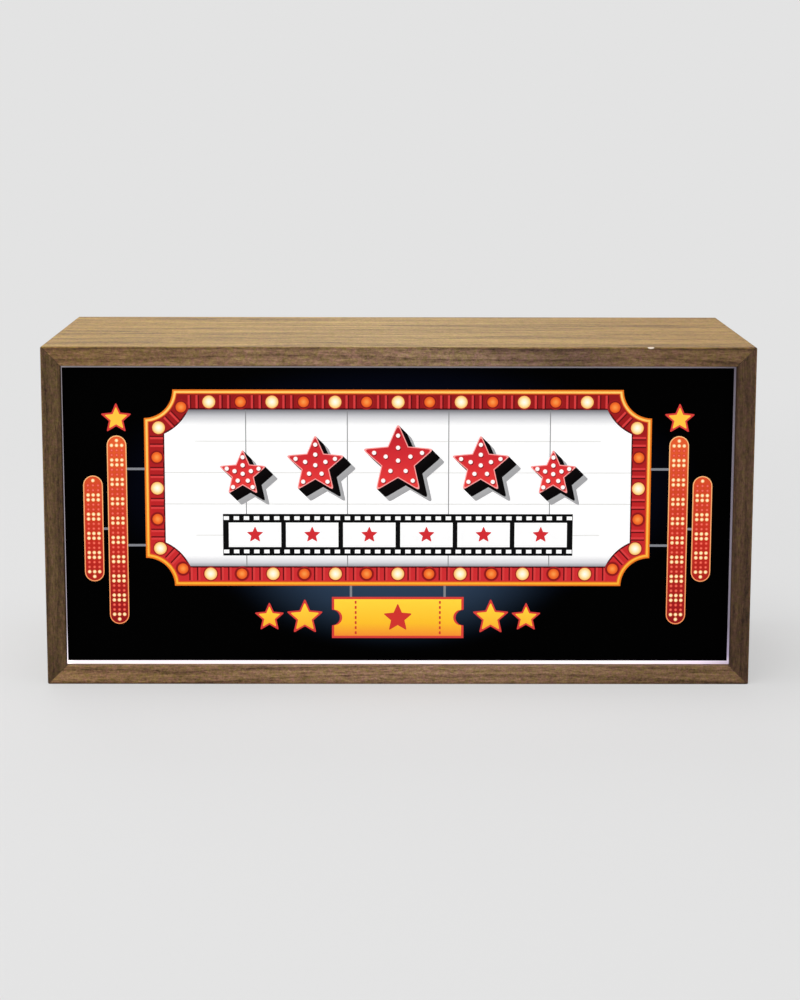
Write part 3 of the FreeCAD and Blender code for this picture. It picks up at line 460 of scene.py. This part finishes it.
panel_rows, panel_wide, past_scoop = 5, 30, 9
upright_half, level_half = 0.14, 0.1
upright_seams = [bar(across - upright_half, across + upright_half, board_low, board_high)
                 for across in (panel_wide * step for step in (-1.5, -0.5, 0.5, 1.5))]
print_piece("print_seams_upright", cut_shape(upright_seams), 7, ink("seam_grey", tint(136, 136, 138)))
level_seams = []
for row in range(1, panel_rows):
    up = board_high - row * 2 * board_half_tall / panel_rows
    reach = board_half_wide - (past_scoop if row in (1, panel_rows - 1) else 0)
    level_seams.append(bar(-reach, reach, up - level_half, up + level_half))
print_piece("print_seams_level", cut_shape(level_seams), 7, ink("seam_pale", tint(212, 212, 208)))


def evenly(points, count):
    """Points and directions at even steps round a closed outline, from its first point on."""
    turns = [Vector(p) for p in (*points, points[0])]
    lengths = [(b - a).length for a, b in zip(turns, turns[1:])]
    step, passed, wanted = sum(lengths) / count, 0, 0
    places = []
    for a, b, length in zip(turns, turns[1:], lengths):
        while len(places) < count and wanted < passed + length:
            places.append((a.lerp(b, (wanted - passed) / length), (b - a).normalized()))
            wanted += step
        passed += length
    return places


def round_lamps(places, radius, sides):
    """Flat round lamps whose fade attribute is 1 in the middle and 0 at the rim."""
    lamps = bmesh.new()
    fade = lamps.verts.layers.float.new("fade")
    for across, up in places:
        middle = Vector((across * mm, up * mm, -ink_thickness / 2))
        made = bmesh.ops.create_cone(
            lamps, cap_ends=True, cap_tris=True, segments=sides, radius1=radius * mm, radius2=radius * mm,
            depth=ink_thickness, matrix=Matrix.Translation(middle),
        )
        for vert in made["verts"]:
            if (vert.co.xy - middle.xy).length < radius * mm / 2:
                vert[fade] = 1.0
    mesh = bpy.data.meshes.new("lamps")
    lamps.to_mesh(mesh)
    lamps.free()
    return mesh


def glowing(name, *stops):
    """A lamp ink, ramped from its rim at 0 to its middle at 1."""
    finish = ink(name)
    fade = finish.node("ShaderNodeAttribute", {"attribute_name": "fade"}, {}, "Fac")
    return lit_with(finish, fade.ramp(*stops))


lamp_count, lamp_sides = 40, 24
cup_radius, cream_radius, amber_radius = 2.25, 1.9, 1.6
lamp_line = plaque(rim + channel / 2)
right_side, others = lamp_line[:scoop_steps + 1], lamp_line[scoop_steps + 1:]
lamp_line = [(0, others[0][1]), *others, *right_side]
lamp_places = [tuple(place) for place, _ in evenly(lamp_line, lamp_count)]
print_piece("print_lamp_cups", round_lamps(lamp_places, cup_radius, lamp_sides), 6, glowing(
    "lamp_cup", (0, tint(168, 32, 34)), (0.35, tint(92, 10, 14)), (1, tint(92, 10, 14))))
print_piece("print_lamps_cream", round_lamps(lamp_places[::2], cream_radius, lamp_sides), 7, glowing(
    "lamp_cream", (0, tint(246, 170, 84)), (0.22, tint(253, 214, 140)), (0.55, tint(255, 240, 196)),
    (1, tint(255, 255, 246))))
print_piece("print_lamps_amber", round_lamps(lamp_places[1::2], amber_radius, lamp_sides), 7, glowing(
    "lamp_amber", (0, tint(222, 78, 30)), (0.4, tint(243, 116, 44)), (1, tint(252, 158, 78))))

# Between two lamps the channel has two folds, each a dark line with a bright one next to it.
fold_half_step, fold_end_gap = 1.15, 0.32
for name, colour, away, half in (
    ("dark", tint(96, 14, 18), -0.42, 0.2),
    ("bright", tint(214, 60, 60), 0.1, 0.32),
):
    folds = []
    for place, along in evenly(lamp_line, lamp_count * 2)[1::2]:
        reach = Vector((along.y, -along.x)) * (channel / 2 - fold_end_gap)
        edge = along * half
        for shift in (-fold_half_step, fold_half_step):
            middle = place + along * (away + shift)
            folds.append([tuple(middle + a * edge + b * reach) for a, b in bar(-1, 1, -1, 1)])
    print_piece("print_creases_" + name, cut_shape(folds), 5, ink("crease_" + name, colour))


# ======== Printed film: stars ========
# Five red stars with white lamps and slanted black block sides are printed in a low arch on the
# board. Each has a pale edge and throws a soft grey shade.
star_row = ((0, 16.6, 11.3), (-24.5, 15.2, 9.3), (24.5, 15.2, 9.3), (-46, 12.6, 7.5), (46, 12.6, 7.5))
waist, blunt = 0.46, 0.2
block_slant, shade_slant, pale_edge = 2.3, 3.6, 0.28
star_lamp_radius, star_cup_radius, star_lamp_sides = 0.66, 0.74, 12


def star(across, up, reach, grown=0.0):
    """A five-pointed star's outline with rounded tips, drawn out by an even distance."""
    fifth = math.tau / 5
    notch = Vector((math.cos(fifth / 2), math.sin(fifth / 2))) * reach * waist
    reach += grown * (Vector((reach, 0)) - notch).length / notch.y
    ring = [Vector((-math.sin(n * fifth / 2), math.cos(n * fifth / 2))) * reach * (waist if n % 2 else 1)
            for n in range(10)]
    points = []
    for n in range(0, 10, 2):
        tip, before, after = ring[n], ring[n - 1], ring[n + 1]
        first, last = tip.lerp(before, blunt), tip.lerp(after, blunt)
        points += [first.lerp(tip, t).lerp(tip.lerp(last, t), t) for t in (0, 0.25, 0.5, 0.75, 1)] + [after]
    return [(across + point.x, up + point.y) for point in points]


def slanted(mesh, slant):
    """Draws a flat shape's back down and to the right, which gives it block sides."""
    back = min(vert.co.z for vert in mesh.vertices)
    for vert in mesh.vertices:
        if vert.co.z < back / 2:
            vert.co += Vector((slant, -slant, 0)) * mm
    return mesh


stars = [star(*place) for place in star_row]
print_piece("print_star_shade", slanted(cut_shape(stars), shade_slant), 8,
            ink("star_shade", tint(186, 186, 188)))
print_piece("print_star_blocks", slanted(cut_shape(stars), block_slant), 9, ink("star_block", tint(8, 5, 6)))
print_piece("print_star_edges", cut_shape(stars), 10, ink("star_edge", tint(250, 160, 156)))
print_piece("print_stars", cut_shape([star(*place, -pale_edge) for place in star_row]), 11, by_height(
    "star_red", 5, 28, (0, tint(238, 66, 62)), (0.5, tint(212, 46, 52)), (1, tint(180, 32, 42))))
star_lamps = []
for across, up, reach in star_row:
    star_lamps.append((across, up))
    for far in (0.34, 0.66):
        star_lamps += arc((across, up), reach * far, 90, 378, 4)
star_cups = [(across + 0.14, up - 0.2) for across, up in star_lamps]
print_piece("print_star_cups", round_lamps(star_cups, star_cup_radius, star_lamp_sides), 12,
            ink("star_cup", tint(128, 14, 26)))
print_piece("print_star_lamps", round_lamps(star_lamps, star_lamp_radius, star_lamp_sides), 13, glowing(
    "star_lamp", (0, tint(250, 214, 206)), (0.4, tint(255, 255, 255)), (1, tint(255, 255, 255))))


# ======== Printed film: strip of picture film ========
# A strip of picture film is printed along the board's foot in black, with its sprocket holes and
# frames in white over it and a small red star in each frame.
strip_up, strip_half_long, strip_half_tall = -5.8, 52, 6.3
hole_pitch, hole_half_wide, hole_half_tall, hole_line = 3, 0.8, 0.55, 5.05
frame_count, frame_pitch, frame_half_wide, frame_half_tall = 6, 17, 7.8, 3.7
strip = bar(-strip_half_long, strip_half_long, strip_up - strip_half_tall, strip_up + strip_half_tall)
print_piece("print_strip", cut_shape([strip]), 9, ink("strip_black", tint(8, 8, 9)))
holes_each_side = strip_half_long // hole_pitch
hole_places = [(n * hole_pitch, strip_up + off)
               for n in range(-holes_each_side, holes_each_side + 1) for off in (-hole_line, hole_line)]
frame_middles = [(n - (frame_count - 1) / 2) * frame_pitch for n in range(frame_count)]
windows = [bar(across - hole_half_wide, across + hole_half_wide, up - hole_half_tall, up + hole_half_tall)
           for across, up in hole_places]
windows += [bar(across - frame_half_wide, across + frame_half_wide,
                strip_up - frame_half_tall, strip_up + frame_half_tall) for across in frame_middles]
print_piece("print_strip_windows", cut_shape(windows), 10, ink("strip_white", tint(252, 252, 252)))
frame_stars = [star(across, strip_up, 2.6) for across in frame_middles]
print_piece("print_strip_stars", cut_shape(frame_stars), 11, ink("strip_star", tint(208, 44, 50)))


# ======== Printed film: light bars ========
# Upright light bars are printed at both sides of the sign, red with a pale orange edge and rows of
# cream and red dots. Thin grey brackets hold them to the sign, and the ticket under it.
bar_half, bar_edge, bar_foot, bar_top = 2.9, 0.3, -33, 24
inner_bar, outer_bar = (83.2, bar_foot, bar_top), (90.4, -20, 12)
dot_room, dot_step, red_radius, cream_dot_radius, dot_sides = 1.5, 1.45, 0.48, 0.58, 10
bracket_half = 0.35
light_bars = [(side * across, low, high) for side in (-1, 1) for across, low, high in (inner_bar, outer_bar)]


def capsule(middle, low, high, inset=0.0):
    """A bar's outline with a round top and foot, drawn in by an even distance."""
    top, foot = (middle, high - bar_half), (middle, low + bar_half)
    return arc(top, bar_half - inset, 0, 180, 12) + arc(foot, bar_half - inset, 180, 360, 12)


print_piece("print_bar_edges", cut_shape([capsule(*place) for place in light_bars]), 2, by_height(
    "bar_edge", bar_foot, bar_top, (0, tint(250, 150, 92)), (1, tint(254, 190, 126))))
print_piece("print_bars", cut_shape([capsule(*place, bar_edge) for place in light_bars]), 3, by_height(
    "bar_red", bar_foot, bar_top, (0, tint(142, 20, 26)), (0.45, tint(192, 44, 32)), (1, tint(228, 92, 46))))
dots = {"red": [], "cream": []}
for middle, low, high in light_bars:
    run = high - low - 2 * dot_room
    rows = round(run / dot_step)
    for row in range(rows + 1):
        up = low + dot_room + row * run / rows
        columns = (-dot_room, 0, dot_room) if 0 < row < rows else (0,)
        dots["cream" if row % 4 < 2 else "red"] += [(middle + column, up) for column in columns]
print_piece("print_dots_red", round_lamps(dots["red"], red_radius, dot_sides), 4, glowing(
    "dot_red", (0, tint(206, 48, 42)), (0.5, tint(238, 96, 76)), (1, tint(250, 140, 118))))
print_piece("print_dots_cream", round_lamps(dots["cream"], cream_dot_radius, dot_sides), 4, glowing(
    "dot_cream", (0, tint(244, 150, 84)), (0.45, tint(255, 226, 170)), (1, tint(255, 252, 232))))
ticket_up, ticket_half_wide, ticket_half_tall, ticket_scoop = -31, 19, 5.6, 2.4
inner_side, outer_side = inner_bar[0] - bar_half, inner_bar[0] + bar_half
brackets = [bar(across - bracket_half, across + bracket_half, ticket_up + ticket_half_tall, sign_low)
            for across in (-14, 14)]
for side in (-1, 1):
    for near, far, up in (
        (sign_half_wide, inner_side, 14),
        (sign_half_wide, inner_side, -9),
        (outer_side, outer_bar[0] - bar_half, -4),
    ):
        brackets.append(bar(*sorted((side * near, side * far)), up - bracket_half, up + bracket_half))
print_piece("print_brackets", cut_shape(brackets), 1, ink("bracket_grey", tint(128, 130, 136)))


# ======== Printed film: ticket ========
# A yellow ticket with scooped ends is printed under the sign, with a red edge, a red star and two
# rows of tear marks. Small yellow stars stand at its sides and over the inner light bars.
tear_across, tear_step, tear_half_wide, tear_half_tall = 12.6, 1.55, 0.28, 0.42
ticket_edge, small_star_edge = 0.7, 0.5


def ticket(grown=0.0):
    """The ticket's outline, drawn out by an even distance."""
    wide, tall = ticket_half_wide + grown, ticket_half_tall + grown
    left = arc((-wide, ticket_up), ticket_scoop, 90, -90, 10)
    right = arc((wide, ticket_up), ticket_scoop, 270, 90, 10)
    return [(-wide, ticket_up + tall), *left, (-wide, ticket_up - tall),
            (wide, ticket_up - tall), *right, (wide, ticket_up + tall)]


print_piece("print_ticket_edge", cut_shape([ticket(ticket_edge)]), 2, ink("ticket_edge", tint(214, 62, 56)))
print_piece("print_ticket", cut_shape([ticket()]), 3, by_height(
    "ticket_yellow", ticket_up - ticket_half_tall, ticket_up + ticket_half_tall,
    (0, tint(244, 142, 50)), (0.35, tint(252, 190, 44)), (1, tint(255, 214, 62))))
marks = [bar(across - tear_half_wide, across + tear_half_wide, up - tear_half_tall, up + tear_half_tall)
         for across in (-tear_across, tear_across)
         for up in (ticket_up + n * tear_step for n in range(-3, 4))]
marks.append(star(0, ticket_up - 0.2, 4.6))
print_piece("print_ticket_marks", cut_shape(marks), 4, ink("ticket_red", tint(206, 52, 46)))
small_stars = [(side * across, up, reach) for side in (-1, 1)
               for across, up, reach in ((27.8, ticket_up, 4.6), (38.4, ticket_up, 3.5), (83.2, 29, 3.6))]
print_piece("print_small_star_edges", cut_shape([star(*place, small_star_edge) for place in small_stars]), 2,
            ink("small_star_edge", tint(214, 62, 56)))
print_piece("print_small_stars", cut_shape([star(*place) for place in small_stars]), 3, by_height(
    "small_star_yellow", -36, 32,
    (0, tint(248, 168, 46)), (0.12, tint(255, 210, 60)), (1, tint(255, 196, 66))))


# ======== Reflector board ========
# A 2 mm sheet of foamed white plastic, screwed to the corner blocks. It carries the light strips
# and throws their light forward. Its faces are smooth, and its sawn edge is open foam.
foamed = Finish("foamed_sheet", Specular_IOR_Level=0.4)
edge_x, _, edge_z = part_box("reflector_board")[1]
skin, bubbles = foamed.noise((900, 900, 900), 3), foamed.noise((5200, 5200, 5200))
sawn_ends = abs(foamed.axis("X")).above(edge_x - 0.1 * mm, 0.05 * mm)
sawn_sides = abs(foamed.axis("Z") - box_height / 2).above(edge_z - box_height / 2 - 0.1 * mm, 0.05 * mm)
sawn = sawn_ends + sawn_sides
foamed.feed("Base Color", foamed.blend(tint(236, 236, 234), tint(214, 214, 210), sawn * bubbles))
foamed.feed("Roughness", skin * 0.15 + sawn * 0.3 + 0.35)
foamed.relief(skin * 0.4 + sawn * bubbles, 0.05 * mm)
foamed.put_on(nodes["reflector_board"])

zinc = Finish("zinc_plate", Metallic=1.0)
spangle = zinc.noise((1600, 1600, 1600), 3)
zinc.feed("Base Color", spangle.ramp((0.3, tint(176, 178, 180)), (0.7, tint(206, 206, 204))))
zinc.feed("Roughness", spangle * 0.25 + 0.22)
zinc.put_on(nodes["reflector_screws"])


# ======== Light strips ========
# Three rows of flexible strip are glued to the board: white film with copper pads at the cutting
# lines, square white lamps with a yellow phosphor window, and one resistor between two lamps.
lamp_side, lamps_in_row = 5 * mm, 9
pad_half_long, pad_half_wide, pad_line, cut_half = 1.3 * mm, 0.8 * mm, 2.1 * mm, 0.07 * mm
lamps_low, lamps_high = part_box("led_lamps")
lamp_pitch = (lamps_high.x - lamps_low.x - lamp_side) / (lamps_in_row - 1)
row_pitch = (lamps_high.z - lamps_low.z - lamp_side) / 2


def from_lamp(finish):
    """How far along X the nearest lamp's middle is."""
    return ((finish.axis("X") / lamp_pitch + 0.5).fraction() - 0.5) * lamp_pitch


for row in (1, 2, 3):
    low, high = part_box("led_strip_%d" % row)
    film = Finish("strip_white_%d" % row)
    from_cut = lamp_pitch / 2 - abs(from_lamp(film))
    off_line = abs(abs(film.axis("Z") - (low.z + high.z) / 2) - pad_line)
    pad = from_cut.below(pad_half_long, 0.05 * mm) * off_line.below(pad_half_wide, 0.05 * mm)
    coppered = film.blend(tint(238, 238, 232), tint(202, 138, 88), pad)
    film.feed("Base Color", film.blend(coppered, tint(50, 46, 42), from_cut.below(cut_half, 0.03 * mm)))
    film.feed("Metallic", pad)
    film.feed("Roughness", 0.5 - pad * 0.2)
    film.put_on(nodes["led_strip_%d" % row])

phosphor = Finish("lamp_phosphor", Roughness=0.4, Emission_Strength=3.0)
upward = (((phosphor.axis("Z") - box_height / 2) / row_pitch + 0.5).fraction() - 0.5) * row_pitch
window = (from_lamp(phosphor).squared() + upward.squared()).below((2 * mm) ** 2, 0.3 * mm ** 2)
phosphor.feed("Base Color", phosphor.blend(tint(236, 234, 226), tint(244, 214, 90), window))
phosphor.feed("Emission Color", phosphor.blend((0, 0, 0, 1), tint(255, 244, 214), window))
phosphor.material.cycles.emission_sampling = "NONE"
phosphor.put_on(nodes["led_lamps"])

chip = Finish("resistor_black", Roughness=0.5)
ends = (lamp_pitch / 2 - abs(from_lamp(chip))).above(1.15 * mm, 0.05 * mm)
chip.feed("Base Color", chip.blend(tint(26, 26, 28), tint(196, 196, 194), ends))
chip.feed("Metallic", ends)
chip.put_on(nodes["strip_resistors"])


# ======== Back panel ========
# A 3 mm panel of dark fibreboard, let in between the boards and held to the corner blocks by four
# pan-head screws. One face is pressed smooth, and short pale fibres show in it.
pressed = Finish("hardboard", Specular_IOR_Level=0.3)
flecks = pressed.noise((1500, 1500, 2600), 4, 0.7)
threads = pressed.noise((1, 1, 1), 3, 0.7, pressed.mapped((300, 300, 2400), (0, math.radians(28), 0)))
clouds = pressed.noise((22, 22, 22), 3)
fibres = flecks * 0.5 + threads * 0.35 + clouds * 0.3
pressed.feed("Base Color", fibres.ramp(
    (0.42, tint(58, 40, 28)), (0.58, tint(88, 62, 42)), (0.74, tint(124, 92, 64))))
pressed.feed("Roughness", flecks * 0.2 + 0.42)
pressed.relief(flecks * 0.6 + threads * 0.4, 0.04 * mm)
pressed.put_on(nodes["back_panel"])
zinc.put_on(nodes["back_screws"])


# ======== Battery tub and cover ========
# A moulded black tub for three round cells, pushed through the back panel and held by its flange
# and barbs. Its cover, moulded with the same fine matt grain, slides in the flange's rails.
moulded = Finish("black_plastic", Specular_IOR_Level=0.45)
black = tint(27, 27, 29)
mould_grain, smears = moulded.noise((2600, 2600, 2600), 3, 0.6), moulded.noise((60, 60, 60), 3)
moulded.feed("Base Color", moulded.blend(black, shade(black, 1.5), smears * mould_grain))
moulded.feed("Roughness", smears * 0.2 + 0.38)
moulded.relief(mould_grain, 0.03 * mm)
moulded.put_on(nodes["battery_tub"], nodes["battery_cover"])


# ======== Contact plates and springs ========
# Nickel-plated steel plates stand in slots at both ends of the bay, with a pressed bump for each
# cell's button. A coil spring of the same bright wire presses on each cell's flat end.
nickel = Finish("nickel_plate", Metallic=1.0)
drawn_lines = nickel.noise((700, 2400, 500), 3)
nickel.feed("Base Color", drawn_lines.ramp((0.3, tint(186, 182, 174)), (0.7, tint(214, 211, 204))))
nickel.feed("Roughness", drawn_lines * 0.2 + 0.18)
nickel.put_on(nodes["contact_plates"], nodes["contact_springs"])


# ======== Cells ========
# Three round cells lie head to tail. A plain grey-blue jacket with a pale ring at the button end is
# shrunk over each can, and the bare steel shows at both ends.
jacket_start, jacket_end, ring_start, ring_end = 0.7 * mm, 48.4 * mm, 43 * mm, 46 * mm
crisp = 0.05 * mm
for number, way in ((1, 1), (2, -1), (3, 1)):
    low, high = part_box("cell_%d" % number)
    jacket = Finish("cell_jacket_%d" % number)
    run = (jacket.axis("X") - (low.x if way > 0 else high.x)) * way
    bare = 1 - run.above(jacket_start, crisp) * run.below(jacket_end, crisp)
    ring = run.above(ring_start, crisp) * run.below(ring_end, crisp)
    printed = jacket.blend(tint(62, 92, 112), tint(214, 214, 206), ring)
    jacket.feed("Base Color", jacket.blend(printed, tint(204, 202, 198), bare))
    jacket.feed("Metallic", bare)
    jacket.feed("Roughness", 0.3 - bare * 0.05)
    jacket.put_on(nodes["cell_%d" % number])


# ======== Switch ========
# A small switch snapped into the back panel: black housing, glossy rocker, a white plastic plunger
# on a coil spring, and a brass see-saw strip that rocks on one brass terminal and tips to the other.
moulded.put_on(nodes["switch_housing"])
nickel.put_on(nodes["switch_spring"])

polish = Finish("black_gloss", Base_Color=tint(20, 20, 22), Coat_Weight=0.4)
wiped = polish.noise((240, 240, 240), 3)
polish.feed("Roughness", wiped * 0.18 + 0.16)
polish.relief(wiped, 0.02 * mm)
polish.put_on(nodes["switch_rocker"])

acetal = Finish("acetal", Subsurface_Weight=0.15, Subsurface_Scale=0.8 * mm)
milky = acetal.noise((900, 900, 900))
acetal.feed("Base Color", milky.ramp((0.3, tint(218, 212, 196)), (0.7, tint(232, 228, 214))))
acetal.feed("Roughness", milky * 0.15 + 0.35)
acetal.put_on(nodes["switch_plunger"])

brass = Finish("brass", Metallic=1.0)
rolled_lines = brass.noise((500, 500, 2600), 3)
brass.feed("Base Color", rolled_lines.ramp((0.3, tint(190, 150, 84)), (0.7, tint(216, 180, 112))))
brass.feed("Roughness", rolled_lines * 0.2 + 0.24)
brass.put_on(nodes["switch_contact"], nodes["switch_terminals"])

# White marks are pressed into the rocker's two faces: a line on the end that is down when the
# switch is on, and a ring on the other. The faces slope up from a valley at the pivot.
pivot = next(Vector(joint["pos_m"]) for joint in frame["joints"] if joint["name"] == "rocker_tilt")
tilted, slope = math.radians(10), math.radians(7.76)
valley, mark_up, mark_thickness = 1.4 * mm, 2.6 * mm, 0.05 * mm
mark_white = Finish("mark_white", Base_Color=tint(226, 226, 222), Roughness=0.5)
seen_from_behind = Matrix(((-1, 0, 0, 0), (0, 0, 1, 0), (0, 1, 0, 0), (0, 0, 0, 1)))
for name, outlines, end in (
    ("mark_on", [bar(-0.17, 0.17, -0.95, 0.95)], 1),
    ("mark_off", [arc((0, 0), radius, 0, 352.5, 47) for radius in (0.98, 0.66)], -1),
):
    mark = cut_shape(outlines, mark_thickness)
    mark.transform(
        Matrix.Translation(pivot) @ Matrix.Rotation(tilted, 4, "X")
        @ Matrix.Translation((0, valley, 0)) @ Matrix.Rotation(-end * slope, 4, "X")
        @ Matrix.Translation((0, mark_thickness * 0.6, end * mark_up)) @ seen_from_behind
    )
    piece(name, mark, mark_white, "rocker", "black_gloss")


# ======== Inlet ========
# A round power inlet: a moulded black body with a plated pin in its bore and brass tags behind. It
# goes in from the back and is held by a plated nut inside the panel.
moulded.put_on(nodes["inlet_body"])
nickel.put_on(nodes["inlet_pin"], nodes["inlet_nut"])
brass.put_on(nodes["inlet_tags"])


# ======== Leads ========
# Stranded copper in red and black plastic insulation runs from pad to tag. The insulation is
# slightly glossy, and its surface shows the lay of the strands.
plus_leads = "jumpers_red", "lead_battery_plus", "lead_switched_plus", "lead_supply_plus"
minus_leads = "jumpers_black", "lead_battery_minus", "lead_supply_minus"
for name, colour, leads in (
    ("lead_red", tint(178, 28, 26), plus_leads),
    ("lead_black", tint(26, 26, 28), minus_leads),
):
    insulation = Finish(name)
    lay = insulation.noise((1400, 1400, 1400))
    insulation.feed("Base Color", insulation.blend(colour, shade(colour, 0.8), lay))
    insulation.feed("Roughness", lay * 0.15 + 0.3)
    insulation.relief(lay, 0.02 * mm)
    insulation.put_on(*(nodes[lead] for lead in leads))


# ======== Studio ========
# A pale floor and large soft lamps. The camera sees the floor and the air behind it as one light
# grey, while the floor near the box keeps a part of its own shading and so the box's shadow.
grey = tint(227, 227, 227)
floor_mesh = bmesh.new()
bmesh.ops.create_circle(floor_mesh, cap_ends=True, segments=64, radius=4)
floor = bpy.data.objects.new("floor", bpy.data.meshes.new("floor"))
floor_mesh.to_mesh(floor.data)
floor_mesh.free()
bpy.context.scene.collection.objects.link(floor)
ground = Finish("floor_grey", Base_Color=shade(grey, 0.92), Roughness=0.9, Specular_IOR_Level=0.0)
camera_ray, glossy_ray, through_ray = (
    ground.node("ShaderNodeLightPath", {}, {}, ray)
    for ray in ("Is Camera Ray", "Is Glossy Ray", "Is Transmission Ray")
)
seen = (camera_ray + glossy_ray + through_ray).above(0.5, 0.1)
off_centre = ground.node("ShaderNodeVectorMath", {"operation": "LENGTH"}, {0: ground.place()}, "Value")
unshaded = 0.6 + off_centre.above(0.45, 0.25) * 0.4
glow = ground.node("ShaderNodeEmission", {}, {"Color": grey})
lit_floor = Signal(ground, ground.shader.outputs[0])
mixed = ground.node("ShaderNodeMixShader", {}, {0: seen * unshaded, 1: lit_floor, 2: glow})
ground.tree.links.new(mixed.socket, ground.tree.nodes["Material Output"].inputs["Surface"])
ground.put_on(floor)

world = bpy.data.worlds.new("studio")
bpy.context.scene.world = world
world.use_nodes = True
sky = world.node_tree
backdrop = sky.nodes["Background"]
backdrop.inputs["Color"].default_value = (1, 1, 1, 1)
backdrop.inputs["Strength"].default_value = 0.3
shown = sky.nodes.new("ShaderNodeBackground")
shown.inputs["Color"].default_value = grey
paths = sky.nodes.new("ShaderNodeLightPath")
either = sky.nodes.new("ShaderNodeMath")
either.operation = "MAXIMUM"
choose = sky.nodes.new("ShaderNodeMixShader")
for source, target in (
    (paths.outputs["Is Camera Ray"], either.inputs[0]),
    (paths.outputs["Is Glossy Ray"], either.inputs[1]),
    (either.outputs[0], choose.inputs[0]),
    (backdrop.outputs[0], choose.inputs[1]),
    (shown.outputs[0], choose.inputs[2]),
    (choose.outputs[0], sky.nodes["World Output"].inputs["Surface"]),
):
    sky.links.new(source, target)

for name, spot, size, watts in (
    ("lamp_over", (-0.25, -0.15, 1.5), 1.4, 18),
    ("lamp_front", (-0.7, -1.9, 0.7), 1.2, 12),
    ("lamp_back", (-0.3, 1.6, 1.4), 1.2, 10),
):
    lamp = bpy.data.lights.new(name, "AREA")
    lamp.shape, lamp.size, lamp.energy = "SQUARE", size, watts
    holder = bpy.data.objects.new(name, lamp)
    holder.location = spot
    holder.rotation_euler = (Vector((0, 0, 0.05)) - Vector(spot)).to_track_quat("-Z", "Y").to_euler()
    bpy.context.scene.collection.objects.link(holder)

bpy.context.scene.view_settings.view_transform = "Standard"
